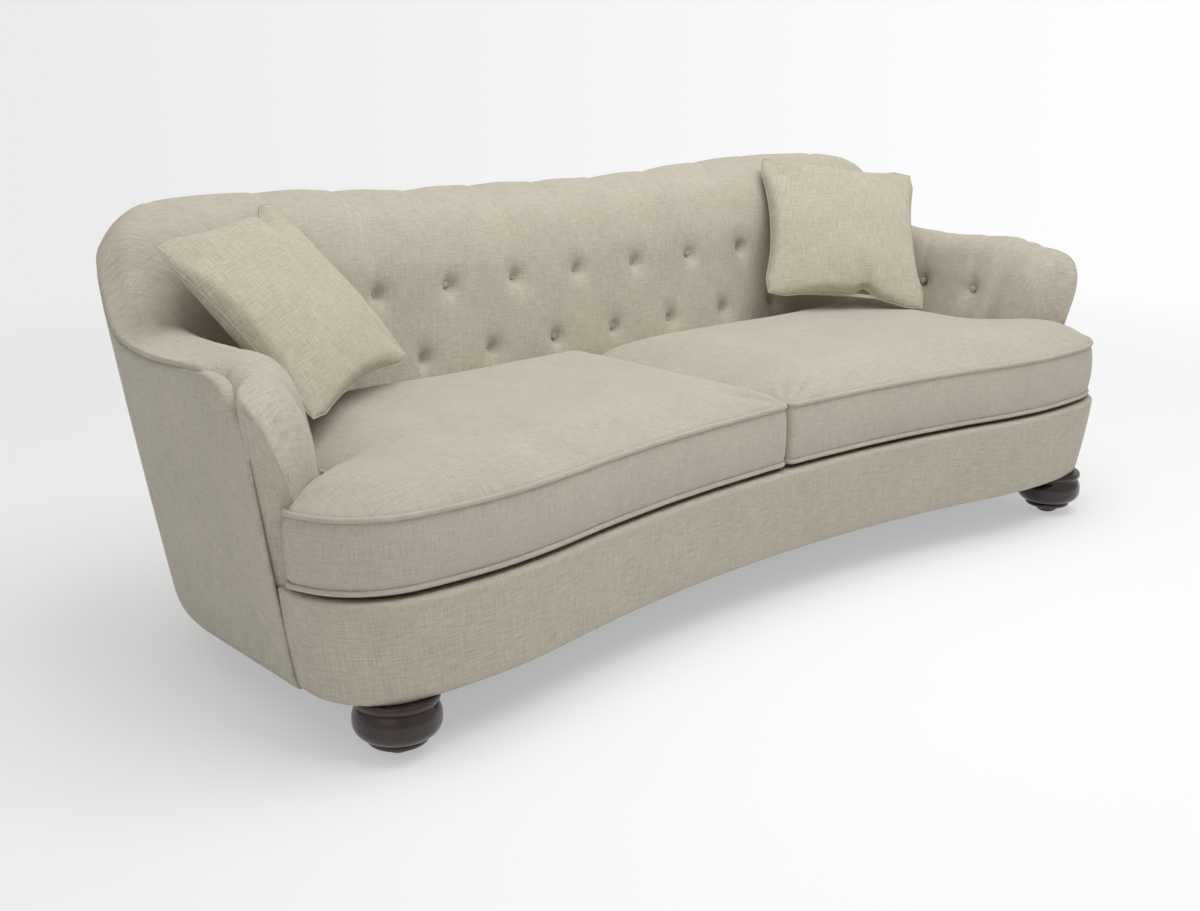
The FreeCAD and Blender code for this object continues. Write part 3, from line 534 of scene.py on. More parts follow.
def segment_distance(p, a, b):
    """Distance of a point from a straight run, and how far along the run that is."""
    span = b - a
    t = min(1.0, max(0.0, (p - a).dot(span) / span.length_squared))
    return (p - a - span * t).length, t


def dimples(s, v, z_face):
    here = Vector((s, v))
    depth = 0.0
    for at, height in UPPER_ROW + LOWER_ROW + ARM_ROW:
        if abs(s - at) <= 0.16:
            gap = (here - Vector((at, z_face(height)))).length
            depth += 0.017 * dent(gap, 0.014) + 0.010 * dent(gap, 0.034)
    return depth


print("buttons", len(UPPER_ROW + LOWER_ROW + ARM_ROW))

# %% [markdown]
# The folds between the buttons, each group by itself. A pleat is a sharp crease with a low lip on
# one side, because the cloth folds over itself there.

# %% Folds
def back_folds(s, v, z_face):
    """Pleats over the crest, soft folds between the rows and short ones down to the seat."""
    here = Vector((s, v))
    depth = 0.0
    upper, lower = z_face(UPPER_Z), z_face(LOWER_Z)
    for at in (k * PITCH for k in range(-4, 5)):
        away = s - at
        if abs(away) < 0.12 and v > upper - 0.02:
            up = climb(v, upper, 0.05) * (0.55 + 0.45 * climb(v, upper + 0.12, 0.16))
            lip = 0.0012 * math.tanh(away / 0.010) * dent(away, 0.05)
            depth += up * (0.0052 * crease(away, 0.006) + lip)
        for side in (-1, 1):
            foot = Vector((at + side * PITCH / 2, lower))
            gap, t = segment_distance(here, Vector((at, upper)), foot)
            ends = abs(2 * t - 1)
            depth += (0.0006 + 0.0036 * ends ** 4) * dent(gap, 0.010 + 0.010 * (1 - ends))
    for at, height in LOWER_ROW:
        if abs(s - at) < 0.06 and v < lower:
            depth += 0.0045 * dent(s - at, 0.011) * climb(lower - v, 0, 0.03)
    swell = 0.0016 * (1 - math.cos(2 * math.pi * s / PITCH))
    return depth - swell * climb(v, upper - 0.05, 0.12)


def arm_folds(s, v, z_face):
    """A long pleat up from each button of an arm and a short one below it."""
    depth = 0.0
    lift = z_face(ARM_Z)
    for at, height in ARM_ROW:
        away = s - at
        if abs(away) < 0.10 and v > lift:
            away += 0.05 * climb(v, lift, 0.30) * math.copysign(1, at)
            lip = 0.001 * math.tanh(away / 0.012) * dent(away, 0.05)
            depth += climb(v, lift, 0.03) * (0.0038 * crease(away, 0.007) + lip)
        elif abs(away) < 0.08:
            depth += 0.004 * dent(away, 0.011) * climb(lift - v, 0, 0.03)
    return depth


def nose_folds(s, v, v_top):
    """Two gathers where the cloth goes round each nose."""
    depth = 0.0
    for at, reach, drop in ((NOSE_S + 0.024, 0.075, 0.06), (NOSE_S + 0.066, 0.110, 0.26)):
        away = abs(abs(s) - at)
        if away < 0.04:
            back = v_top - v - drop
            fade = (1 - climb(back, reach - 0.03, 0.03)) * climb(back, -0.01, 0.01)
            depth += 0.0065 * crease(away, 0.007) * fade
    return depth


def corner_folds(s, v, v_top):
    """One upright crease where the back meets each arm."""
    fade = climb(v, 0.30, 0.12) * (1 - climb(v, v_top - 0.10, 0.10))
    return sum(0.0045 * crease(s - at, 0.010) * fade for at in (1.02, -1.02))


def tuft_depth(s, v, z_face, v_top):
    """How far the cloth is pulled in at this place."""
    depth = dimples(s, v, z_face) + arm_folds(s, v, z_face)
    depth += nose_folds(s, v, v_top) + corner_folds(s, v, v_top)
    return depth + back_folds(s, v, z_face) if abs(s) < 0.80 else depth


def face_reach(s):
    """Length up the section at which the inner face reaches a height."""
    top, k = ease(CREST, s), ease(BACKNESS, s)
    tilt = math.hypot(1, (0.042 + 0.024 * k) / (0.68 * (top - SEAT)))
    return lambda z: 0.14 + (z - SEAT) * tilt


deepest = tuft_depth(0, face_reach(0)(UPPER_Z), face_reach(0), 0.8)
print("depth under a button of the back", round(deepest * 1000, 1), "mm")

# %% [markdown]
# Now the cloth itself: a flat grid, one column for each section, is bent into place and then
# pushed in along its own normals by the tufting. Its UV map is the cloth laid flat, in metres.

# %% Inside of the back and arms
ROWS = 84
NOSE_COLUMNS = 34
SMOOTHINGS = 12


def bent_grid(sections, uv_columns):
    """A grid whose columns are the given sections, with a flat cloth UV map."""
    columns = len(sections) - 1
    rows = len(sections[0]) - 1
    bm = bmesh.new()
    bmesh.ops.create_grid(bm, x_segments=columns, y_segments=rows, size=0.5)
    layer = bm.loops.layers.uv.new("cloth")
    index = {}
    for vert in bm.verts:
        i = round((vert.co.x + 0.5) * columns)
        j = round((vert.co.y + 0.5) * rows)
        index[vert] = (i, j)
        vert.co = sections[i][j]
    for face in bm.faces:
        for loop in face.loops:
            i, j = index[loop.vert]
            across, length = uv_columns[i]
            loop[layer].uv = (across, length * j / rows)
    return bm, index


def half_run():
    """From the middle of the back to the tip of a nose: points, place on the path, length."""
    half = []
    steps = round(NOSE_S / 0.0088)
    for i in range(steps + 1):
        s = NOSE_S * i / steps
        origin, outward = back_path(s)
        flat, length = even_line(roll_keys(s), ROWS)
        points = [origin + outward * p.x + Vector((0, 0, p.y)) for p in flat]
        half.append((points, s, length))
    along, last = NOSE_S, NOSE_BACK
    for distance in DISTANCES:
        points, length = nose_section(distance, 1.0, ROWS)
        along += max(0.004, last - distance)
        last = distance
        half.append((points, along, length))
    for shrink in SHRINKS:
        points, length = nose_section(0.0, shrink, ROWS)
        along += 0.012
        half.append((points, along, length))
    return half


def mirrored(points):
    return [Vector((-p.x, p.y, p.z)) for p in points]


def inner_cloth():
    half = half_run()
    left = [(mirrored(points), -s, length) for points, s, length in reversed(half[1:])]
    whole = left + half
    bm, index = bent_grid([column[0] for column in whole], [column[1:] for column in whole])
    centre = len(left)
    nose = [v for v in bm.verts
            if not v.is_boundary and abs(index[v][0] - centre) > centre - NOSE_COLUMNS]
    for turn in range(SMOOTHINGS):
        bmesh.ops.smooth_vert(
            bm, verts=nose, factor=0.5, use_axis_x=True, use_axis_y=True, use_axis_z=True)
    bm.normal_update()
    moves = {}
    for vert in bm.verts:
        i, j = index[vert]
        points, s, length = whole[i]
        v = length * j / (ROWS - 1)
        depth = tuft_depth(s, v, face_reach(abs(s)), length)
        fade = min(1.0, (ROWS - 1 - j) / 8) * min(1.0, j / 4)
        slow = noise.noise(Vector((s * 4, v * 5, 2.0))) * 0.004
        slow += noise.noise(Vector((s * 13, v * 14, 7.0))) * 0.0012
        moves[vert] = vert.normal * ((slow - depth) * fade)
    for vert, move in moves.items():
        vert.co += move - Vector((0, DEPTH, 0))
    bmesh.ops.remove_doubles(bm, verts=bm.verts, dist=0.0002)
    return bm


def thicken(piece, name, thickness):
    """Gives a sheet of cloth a wall behind its face."""
    wall = piece.modifiers.new(name, "SOLIDIFY")
    wall.thickness = thickness
    wall.offset = -1


bm = inner_cloth()
middle = min(bm.verts, key=lambda v: (v.co - Vector((0, 0.24, 0.6))).length)
if middle.normal.y > 0:
    bmesh.ops.reverse_faces(bm, faces=bm.faces)
print("inside cloth", len(bm.faces), "faces")
inner = show(bm, "inside_upholstery", sofa_linen)
thicken(inner, "wadding", 0.008)
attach(inner, "sofa")
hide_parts("inside_back", "inside_arm_left", "inside_arm_right")

# %% [markdown]
# The outside is flat cloth over card. It leans out, and its top front corner is cut round, where
# the nose wraps past it. Three panels meet at the two rear corners, as they do on the real sofa.

# %% Outside panels
PANEL_ROWS = 56


def panel_top(s):
    y = SIDE_START + SIDE_END - s
    top = seam_height(min(s, NOSE_S))
    if y < 0.24:
        top -= 0.150 * (1 - math.sqrt(max(0.0, 1 - ((0.24 - y) / 0.115) ** 2)))
    return top


def panel_keys(s):
    """Section of a panel: in under the base, up the leaning face, in over the top."""
    top = panel_top(s)
    keys = [(-0.022, BASE - 0.001), (-0.006, BASE), (0.0005, BASE + 0.008)]
    for step in range(1, 8):
        z = BASE + (top - BASE) * step / 8
        keys.append((lean(z) + 0.0025 * math.sin(math.pi * step / 8), z))
    keys.append((lean(top - 0.008), top - 0.008))
    for inward, down in ((0.002, 0.002), (0.007, 0.001), (0.016, 0.003), (0.030, 0.008)):
        keys.append((lean(top) - inward, top - down))
    return [Vector((n, z, 0)) for n, z in keys]


def outside_panel(name, start, end, node):
    steps = max(8, round(abs(end - start) / 0.012))
    shift = Vector((0, DEPTH, 0))
    sections, places = [], []
    for i in range(steps + 1):
        s = start + (end - start) * i / steps
        origin, outward = back_path(abs(s))
        if s < 0:
            origin.x, outward.x = -origin.x, -outward.x
        flat, length = even_line(panel_keys(abs(s)), PANEL_ROWS)
        sections.append([origin + outward * p.x + Vector((0, 0, p.y)) - shift for p in flat])
        places.append((s, length))
    bm = bent_grid(sections, places)[0]
    bm.normal_update()
    face = max(bm.faces, key=lambda f: f.calc_center_median().z)
    centre = face.calc_center_median()
    if face.normal.dot(Vector((centre.x, centre.y, 0))) < 0:
        bmesh.ops.reverse_faces(bm, faces=bm.faces)
    made = show(bm, name, sofa_linen)
    thicken(made, "card", 0.005)
    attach(made, "sofa")
    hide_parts(node)


CORNER_S = FAST_START + FAST * math.radians(45)
PANEL_FRONT = SIDE_START + SIDE_END - 0.1265
outside_panel("outside_right", CORNER_S, PANEL_FRONT, "outside_arm_right")
outside_panel("outside_left", -PANEL_FRONT, -CORNER_S, "outside_arm_left")
outside_panel("outside_rear", -CORNER_S + 0.0005, CORNER_S - 0.0005, "outside_back")
print("outside panels, front edge at", round(SIDE_START + SIDE_END - PANEL_FRONT - DEPTH, 3))

# %% [markdown]
# The front border is one padded band bent along the serpentine front. `FrontCurve` gives the
# outline of the base or, with a longer half and a larger corner, of the cushion that overhangs it.
# `HOLLOW` and `FULL` are the radii of the middle arc and of the arc at each end.

# %% Front curve
HOLLOW, FULL, FULL_X = 3.4, 1.070, 0.920
FRONT_MIDDLE = 0.026


class FrontCurve:
    """Hollow arc, full arc and corner arc of the right half, moved outwards by `out`."""

    def __init__(self, out, half=HALF, corner=0.150, front=0.0):
        full = FULL + front
        x = half - corner
        rise = math.sqrt((HOLLOW + FULL) ** 2 - FULL_X ** 2)
        self.c1 = Vector((0, FRONT_MIDDLE - HOLLOW, 0))
        self.c2 = Vector((FULL_X, self.c1.y + rise, 0))
        self.c3 = Vector((x, self.c2.y - math.sqrt((full - corner) ** 2 - (x - FULL_X) ** 2), 0))
        self.r1, self.r2, self.r3 = HOLLOW - front - out, full + out, corner + out
        self.turn12 = math.atan2(self.c2.y - self.c1.y, self.c2.x)
        self.turn23 = math.atan2(self.c3.y - self.c2.y, self.c3.x - self.c2.x)

    def start(self, x):
        return Vector((x, self.c1.y + math.sqrt(self.r1 ** 2 - x ** 2), 0))

    def arcs(self, x, end):
        first = math.atan2(self.start(x).y - self.c1.y, x)
        points = arc_points(self.c1, self.r1, first, self.turn12)
        points += arc_points(self.c2, self.r2, self.turn12 - math.pi, self.turn23)
        return points + arc_points(self.c3, self.r3, self.turn23, end)


def arc_points(centre, radius, start, end):
    count = max(3, math.ceil(abs(end - start) * radius / 0.006))
    angles = [start + (end - start) * i / count for i in range(count + 1)]
    return [centre + Vector((math.cos(a), math.sin(a), 0)) * radius for a in angles]


BORDER_TOP = DECK - 0.006
HEIGHTS = (0.123, 0.135, 0.150, 0.170, 0.190, 0.210, 0.230, 0.250, 0.268, 0.284, 0.296, 0.303)
LEVELS = [(-0.007, BASE - 0.0005), (-0.0025, BASE + 0.001), (0, BASE + 0.006)]
for z in HEIGHTS:
    swell = 0.003 * math.sin(math.pi * (z - BASE) / (BORDER_TOP - BASE))
    LEVELS.append((lean(z) + swell, z))
LEVELS += [(lean(0.309), 0.309), (lean(0.312) - 0.003, 0.3125)]
LEVELS += [(lean(BORDER_TOP) - 0.009, BORDER_TOP), (-0.010, BORDER_TOP)]


def border_section(out, count):
    curve = FrontCurve(out)
    right = curve.arcs(0, 0.0) + [Vector((HALF + out, y, 0)) for y in (0.09, 0.11, 0.1285)]
    return even_path(mirrored(reversed(right[1:])) + right, count)


COLUMNS = 260
BAND_CLOTH = 0.22
bands = [border_section(out, COLUMNS) for out, z in LEVELS]
rows = [[p + Vector((0, -DEPTH, z)) for p in band[0]] for band, (out, z) in zip(bands, LEVELS)]
places = [(bands[0][1] * i / COLUMNS, BAND_CLOTH) for i in range(COLUMNS)]
bm = bent_grid([list(column) for column in zip(*rows)], places)[0]
bm.normal_update()
front_face = min(bm.faces, key=lambda f: f.calc_center_median().y)
if front_face.normal.y > 0:
    bmesh.ops.reverse_faces(bm, faces=bm.faces)
border = show(bm, "front_band", sofa_linen)
thicken(border, "wadding", 0.006)
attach(border, "sofa")
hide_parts("front_border")
print("front band", round(bands[0][1], 3), "m long")

# %% [markdown]
# The seat cushions are T-shaped: each has an ear that passes in front of the arm. A closed hull
# is drawn a little lean, remeshed to an even skin and then blown up as cloth, with its two seams
# and its underside held. The crown and the boxing swell between the seams, as feather and foam do.

# %% Outline of a seat cushion
EAR_HALF, EAR_CORNER = 1.203, 0.180
SIDE_X, REAR_Y = 1.0275, 0.6675
LOW_SEAM, TOP_SEAM = 0.329, 0.4596
CUSHION_MIDDLE = Vector((0.570, 0.330, 0))


def rounded(before, vertex, after, radius):
    """The corner of two straight runs, rounded: nine points of an arc."""
    u = (before - vertex).normalized()
    v = (after - vertex).normalized()
    half = u.angle(v) / 2
    reach = radius / math.tan(half)
    centre = vertex + (u + v).normalized() * (radius / math.sin(half))
    first, last = vertex + u * reach, vertex + v * reach
    a, b = first - centre, last - centre
    return [centre + a.lerp(b, i / 8).normalized() * radius for i in range(9)]


def cushion_outline(out, split):
    curve = FrontCurve(out, EAR_HALF, EAR_CORNER, 0.008)
    start = curve.start(split + 0.024)
    end = math.radians(-20)
    corner_end = curve.c3 + Vector((math.cos(end), math.sin(end), 0)) * curve.r3
    tangent = Vector((-math.sin(end), math.cos(end), 0))
    along = Vector((-math.cos(NOSE_TURN), math.sin(NOSE_TURN), 0))
    forward = Vector((-math.sin(NOSE_TURN), -math.cos(NOSE_TURN), 0))
    on_line = Vector((1.205, 0.092, 0)) - forward * out + forward * 0.006
    cross = tangent.x * along.y - tangent.y * along.x
    gap = on_line - corner_end
    tip = corner_end + tangent * ((gap.x * along.y - gap.y * along.x) / cross)
    notch = on_line + along * ((on_line.x - SIDE_X - out) / math.cos(NOSE_TURN))
    corner = Vector((SIDE_X + out, REAR_Y + out, 0))
    back_split = Vector((split, REAR_Y + out, 0))
    slope = (start - curve.c1).normalized()
    front_split = Vector((split, start.y + slope.x / slope.y * (start.x - split), 0))
    points = curve.arcs(split + 0.024, end)
    points += rounded(corner_end, tip, notch, max(0.004, 0.014 + out))
    points += rounded(tip, notch, corner, 0.024 - out)
    points += rounded(notch, corner, back_split, 0.076 + out)
    points += rounded(corner, back_split, front_split, max(0.004, 0.012 + out))
    points += rounded(back_split, front_split, start, max(0.004, 0.016 + out))
    return points


def cushion_ring(out, z, shrink=1.0, count=300):
    """The outline at one height, moved outwards by `out` or shrunk towards the middle."""
    split = 0.004 - out if out < 0 else 0.004 - out * 0.4
    points, length = even_path(cushion_outline(out, split), count, closed=True)
    ring = [CUSHION_MIDDLE + (p - CUSHION_MIDDLE) * shrink + Vector((0, 0, z)) for p in points]
    return ring, length


print("cushion seam", round(cushion_ring(0.001, TOP_SEAM)[1], 3), "m round")

# %% [markdown]
# `inflate` does the sewing-room part: a Voxel Remesh gives an even skin, Cloth with pressure and
# no gravity fills it for twenty frames, and a cap keeps every point near its pattern.

# %% Inflating with cloth
def remeshed(bm, voxel):
    made = show(bm, "hull", sofa_linen)
    skin = made.modifiers.new("skin", "REMESH")
    skin.mode = "VOXEL"
    skin.voxel_size = voxel
    graph = bpy.context.evaluated_depsgraph_get()
    mesh = bpy.data.meshes.new_from_object(made.evaluated_get(graph))
    bpy.data.objects.remove(made)
    return mesh


def inflate(mesh, held, pressure, cap, frames=20, stiffness=15):
    """Blows up the mesh as cloth; `held` says which points are sewn down."""
    made = bpy.data.objects.new("cloth_run", mesh)
    bpy.context.scene.collection.objects.link(made)
    start = [v.co.copy() for v in mesh.vertices]
    pins = made.vertex_groups.new(name="sewn")
    pins.add([v.index for v in mesh.vertices if held(v.co)], 1.0, "REPLACE")
    cloth = made.modifiers.new("fill", "CLOTH")
    cloth.settings.use_pressure = True
    cloth.settings.uniform_pressure_force = pressure
    cloth.settings.vertex_group_mass = "sewn"
    cloth.settings.tension_stiffness = stiffness
    cloth.settings.compression_stiffness = stiffness
    cloth.settings.bending_stiffness = 0.5
    cloth.settings.effector_weights.gravity = 0
    cloth.collision_settings.use_collision = False
    cloth.point_cache.frame_start = 1
    cloth.point_cache.frame_end = frames
    for number in range(1, frames + 1):
        bpy.context.scene.frame_set(number)
    graph = bpy.context.evaluated_depsgraph_get()
    filled = bpy.data.meshes.new_from_object(made.evaluated_get(graph))
    made.modifiers.clear()
    for vert, before, after in zip(mesh.vertices, start, filled.vertices):
        move = after.co - before
        vert.co = before + move * min(1.0, cap / max(1e-9, move.length))
    bpy.context.scene.frame_set(1)
    furthest = max((v.co - b).length for v, b in zip(mesh.vertices, start))
    print("cloth moved", round(furthest * 1000, 1), "mm")
    bm = bmesh.new()
    bm.from_mesh(mesh)
    bpy.data.objects.remove(made)
    return bm


def lay_cloth(bm):
    """UV map in metres: each face takes the flat direction that it faces most."""
    layer = bm.loops.layers.uv.new("cloth")
    for face in bm.faces:
        n = face.normal
        axis = 2 if abs(n.z) > 0.55 else (0 if abs(n.x) > abs(n.y) else 1)
        for loop in face.loops:
            co = loop.vert.co
            loop[layer].uv = ((co.y, co.z), (co.x, co.z), (co.x, co.y))[axis]


print("cloth simulation", "on")

# %% [markdown]
# The hull is a ring of the outline pulled up through the two seams and over the crown. `SIDES`
# lists the rings below the top seam as (outward, height), and `CROWN` those above it as shares of
# the outline and of the crown's height.

# %% Seat cushions
SIDES = [(-0.012, 0.3208), (-0.002, 0.325), (0.000, LOW_SEAM), (0.006, 0.343), (0.0095, 0.372),
         (0.0095, 0.416), (0.006, 0.445), (0.000, TOP_SEAM)]
CROWN = [(0.985, 0.22), (0.95, 0.46), (0.89, 0.67), (0.80, 0.82), (0.66, 0.93), (0.45, 0.98),
         (0.18, 1.0)]
CROWN_RISE = 0.056
CROWN_TOP = 0.522


def cushion_hull():
    made = [cushion_ring(out, z)[0] for out, z in SIDES]
    for shrink, rise in CROWN:
        made.append(cushion_ring(0.0, TOP_SEAM + CROWN_RISE * rise, shrink)[0])
    bm = bmesh.new()
    edge = bmesh.ops.create_circle(bm, segments=len(made[0]), radius=1)["verts"]
    edge.sort(key=lambda v: math.atan2(v.co.y, v.co.x) % (2 * math.pi))
    for vert, place in zip(edge, made[0]):
        vert.co = place
    bmesh.ops.contextual_create(bm, geom=edge)
    order = list(edge)
    for ring in made[1:]:
        edges = [bm.edges.get((a, b)) for a, b in zip(order, order[1:] + order[:1])]
        grown = bmesh.ops.extrude_edge_only(bm, edges=edges)["geom"]
        fresh = [g for g in grown if isinstance(g, bmesh.types.BMVert)]
        following = []
        for vert in order:
            around = (edge.other_vert(vert) for edge in vert.link_edges)
            following.append(next(other for other in around if other in fresh))
        for vert, place in zip(following, ring):
            vert.co = place
        order = following
    bmesh.ops.contextual_create(bm, geom=order)
    bmesh.ops.recalc_face_normals(bm, faces=bm.faces)
    for vert in bm.verts:
        vert.co.y -= DEPTH
    return bm


def sewn_down(co):
    return abs(co.z - TOP_SEAM) < 0.006 or co.z < LOW_SEAM + 0.004


skin = remeshed(cushion_hull(), 0.009)
filled = inflate(skin, sewn_down, pressure=4.0, cap=0.016)
crest = max(v.co.z for v in filled.verts)
print("cushion points", len(filled.verts), "crown", round(crest, 4))


def seat_cushion(side, name, body, node):
    """A copy of the filled cushion with slow unevenness, and puckers along its seams."""
    bm = filled.copy()
    for vert in bm.verts:
        co = vert.co
        slow = noise.noise(Vector((co.x * 5, co.y * 5, 3.0 * side))) * 0.003
        if TOP_SEAM < co.z:
            co.z += slow * min(1, (co.z - TOP_SEAM) / 0.03)
        elif LOW_SEAM < co.z:
            rise = math.sin(math.pi * (co.z - LOW_SEAM) / (TOP_SEAM - LOW_SEAM))
            along = (co.x + co.y) * 46
            pucker = noise.noise(Vector((along, co.z * 8, 5.0 * side)))
            co += vert.normal * (pucker * 0.0016 * (0.35 + 0.65 * (1 - rise)) + slow * 0.4 * rise)
        co.z = min(co.z, CROWN_TOP)
    if side < 0:
        bmesh.ops.mirror(bm, geom=bm.verts[:] + bm.edges[:] + bm.faces[:], axis="X", merge_dist=-1)
        bmesh.ops.delete(bm, geom=[v for v in bm.verts if v.co.x > 0], context="VERTS")
        bmesh.ops.recalc_face_normals(bm, faces=bm.faces)
    lay_cloth(bm)
    made = show(bm, name, seat_linen)
    fine = made.modifiers.new("smooth", "SUBSURF")
    fine.levels = fine.render_levels = 1
    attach(made, body)
    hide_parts(node)


seat_cushion(1, "cushion_right", "seat_right", "seat_cover_right")
seat_cushion(-1, "cushion_left", "seat_left", "seat_cover_left")
filled.free()
print("crown of a finished cushion at most", CROWN_TOP)

# %% [markdown]
# The piping is a cord wrapped in bias-cut linen, sewn into both seams. It is a curve with a round
# bevel, turned into a mesh so that its place can be kept in the mesh itself.

# %% Piping
def tube(name, loops, radius, material):
    curve = bpy.data.curves.new(name, "CURVE")
    curve.dimensions = "3D"
    curve.bevel_depth = radius
    curve.bevel_resolution = 2
    for points in loops:
        spline = curve.splines.new("POLY")
        spline.points.add(len(points) - 1)
        spline.use_cyclic_u = True
        for point, place in zip(spline.points, points):
            point.co = (*place, 1)
    holder = bpy.data.objects.new(name + "_line", curve)
    bpy.context.scene.collection.objects.link(holder)
    graph = bpy.context.evaluated_depsgraph_get()
    mesh = bpy.data.meshes.new_from_object(holder.evaluated_get(graph))
    bpy.data.objects.remove(holder)
    bm = bmesh.new()
    bm.from_mesh(mesh)
    bmesh.ops.remove_doubles(bm, verts=bm.verts, dist=0.00005)
    bmesh.ops.recalc_face_normals(bm, faces=bm.faces)
    for layer in list(bm.loops.layers.uv.values()):
        bm.loops.layers.uv.remove(layer)
    lay_cloth(bm)
    return show(bm, name, material)


for side, word in ((1, "right"), (-1, "left")):
    loops = []
    for z in (LOW_SEAM, TOP_SEAM):
        points, length = even_path(cushion_outline(0.003, 0.0064), 420, closed=True)
        loops.append([Vector((p.x * side, p.y - DEPTH, z + 0.0006 * noise.noise(p * 9)))
                      for p in points])
    piping = tube("piping_" + word, loops, 0.0056, seat_linen)
    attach(piping, "seat_" + word)
    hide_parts("seat_piping_" + word)
print("piping", round(length, 3), "m a loop")

# %% [markdown]
# A throw pillow is two squares sewn face to face and turned. Filled, its corners stay flat and
# its sides draw in, which is what the cloth solver finds when the two sheets are blown up.

# %% Throw pillows
PILLOW_HALF = 0.233


def pillow_mesh(segments=64):
    """Two sheets sewn round the rim, with their sides a little drawn in already."""
    bm = bmesh.new()
    bmesh.ops.create_grid(bm, x_segments=segments, y_segments=segments, size=PILLOW_HALF)
    for vert in bm.verts:
        x, y = vert.co.x / PILLOW_HALF, vert.co.y / PILLOW_HALF
        pull = 0.020 * (1 - y * y) * x, 0.020 * (1 - x * x) * y
        cut = 0.060 * max(0.0, abs(x * y) - 0.75)
        vert.co.x -= pull[0] + cut * x
        vert.co.y -= pull[1] + cut * y
        vert.co.z = 0.060 * max(0.0, (1 - x * x) * (1 - y * y)) ** 0.62
    back = bmesh.ops.duplicate(bm, geom=bm.verts[:] + bm.edges[:] + bm.faces[:])["geom"]
    for item in back:
        if isinstance(item, bmesh.types.BMVert):
            item.co.z = -item.co.z
    faces = [item for item in back if isinstance(item, bmesh.types.BMFace)]
    bmesh.ops.reverse_faces(bm, faces=faces)
    bmesh.ops.remove_doubles(bm, verts=bm.verts, dist=0.0004)
    mesh = bpy.data.meshes.new("pillow")
    bm.to_mesh(mesh)
    bm.free()
    return mesh


def free_cloth(co):
    """No point of a pillow is held while it fills."""
    return False


def on_rim(vert):
    ups = [face.normal.z for face in vert.link_faces]
    return max(ups) > 0 > min(ups)


pillow = inflate(pillow_mesh(), free_cloth, pressure=1.5, cap=0.020, frames=10, stiffness=30)
pillow.normal_update()
pillow.verts.index_update()
sewn_rim = {v.index for v in pillow.verts if on_rim(v)}
reach = max(v.co.x for v in pillow.verts), max(v.co.z for v in pillow.verts)
print("pillow half side and half thickness", reach, "points round its seam", len(sewn_rim))

# %% [markdown]
# Each pillow leans in its own corner. `POSES` gives its middle, the direction of its right-hand
# side and the direction that is up on it. A soft fold starts at the rim and fades inwards; it is
# given as its start, its end, its depth and its width. The first one of each pillow is a notch
# in its edge, so the rim is drawn in there too.

# %% Pillows in their corners
POSES = {
    "right": [(0.822, 0.1203, 0.716), (0.824, -0.554, -0.120), (0.435, 0.482, 0.760)],
    "left": [(-0.907, 0.1083, 0.717), (0.845, 0.529, 0.078), (-0.410, 0.547, 0.730)],
}
SOFT_FOLDS = {
    "right": [((0.055, -0.21), (0.03, -0.08), 0.020, 0.020),
              ((-0.20, 0.20), (-0.08, 0.08), 0.006, 0.020)],
    "left": [((0.135, 0.21), (0.10, 0.10), 0.020, 0.022),
             ((0.20, -0.19), (0.08, -0.10), 0.008, 0.020)],
}


def fold_pillow(bm, word):
    moves = {}
    for vert in bm.verts:
        co = vert.co
        flat = Vector((co.x, co.y))
        depth = noise.noise(Vector((co.x * 7, co.y * 7, 4.0 + len(word)))) * 0.004
        for start, end, deep, width in SOFT_FOLDS[word]:
            gap, t = segment_distance(flat, Vector(start), Vector(end))
            depth -= deep * (1 - t) * dent(gap, width)
        edge = min(1.0, (PILLOW_HALF - max(abs(co.x), abs(co.y))) / 0.04)
        moves[vert] = vert.normal * (depth * max(0.0, edge))
        start, end, deep, width = SOFT_FOLDS[word][0]
        pinch = dent((flat - Vector(start)).length, width * 1.6)
        moves[vert] += (Vector((*end, 0)) - Vector((*start, 0))).normalized() * (0.014 * pinch)
    for vert, move in moves.items():
        vert.co += move


def throw_pillow(word):
    centre, right, up = (Vector(numbers) for numbers in POSES[word])
    x = right.normalized()
    y = (up - x * x.dot(up)).normalized()
    z = x.cross(y)
    bm = pillow.copy()
    layer = bm.loops.layers.uv.new("cloth")
    for face in bm.faces:
        for loop in face.loops:
            loop[layer].uv = (loop.vert.co.x, loop.vert.co.y)
    bm.normal_update()
    fold_pillow(bm, word)
    rim = [v.co.copy() for v in bm.verts if v.index in sewn_rim]
    rim.sort(key=lambda co: math.atan2(co.y, co.x))
    place = Matrix((x, y, z)).transposed().to_4x4()
    place.translation = centre
    bmesh.ops.transform(bm, matrix=place, verts=bm.verts)
    made = show(bm, "throw_" + word, pillow_linen)
    fine = made.modifiers.new("smooth", "SUBSURF")
    fine.levels = fine.render_levels = 1
    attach(made, "pillow_" + word)
    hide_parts("pillow_cover_" + word, "pillow_filling_" + word)
    seam = tube("throw_seam_" + word, [[place @ co for co in rim]], 0.0016, pillow_linen)
    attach(seam, "pillow_" + word)


throw_pillow("right")
throw_pillow("left")
pillow.free()
print("throw pillows", list(POSES))

# %% [markdown]
# Covered buttons: a domed disc with a rolled rim, spun from a few points of its half outline.

# %% Buttons
BUTTON = [(0.0001, 0.0042), (0.004, 0.0039), (0.0075, 0.0028), (0.0100, 0.0008),
          (0.0112, -0.0018), (0.0098, -0.0038), (0.006, -0.0046)]


def back_face(z):
    keys = roll_keys(0.0)
    return BACK_Y + keys[1].x + (keys[3].x - keys[1].x) * (z - SEAT) / (keys[3].y - keys[1].y)


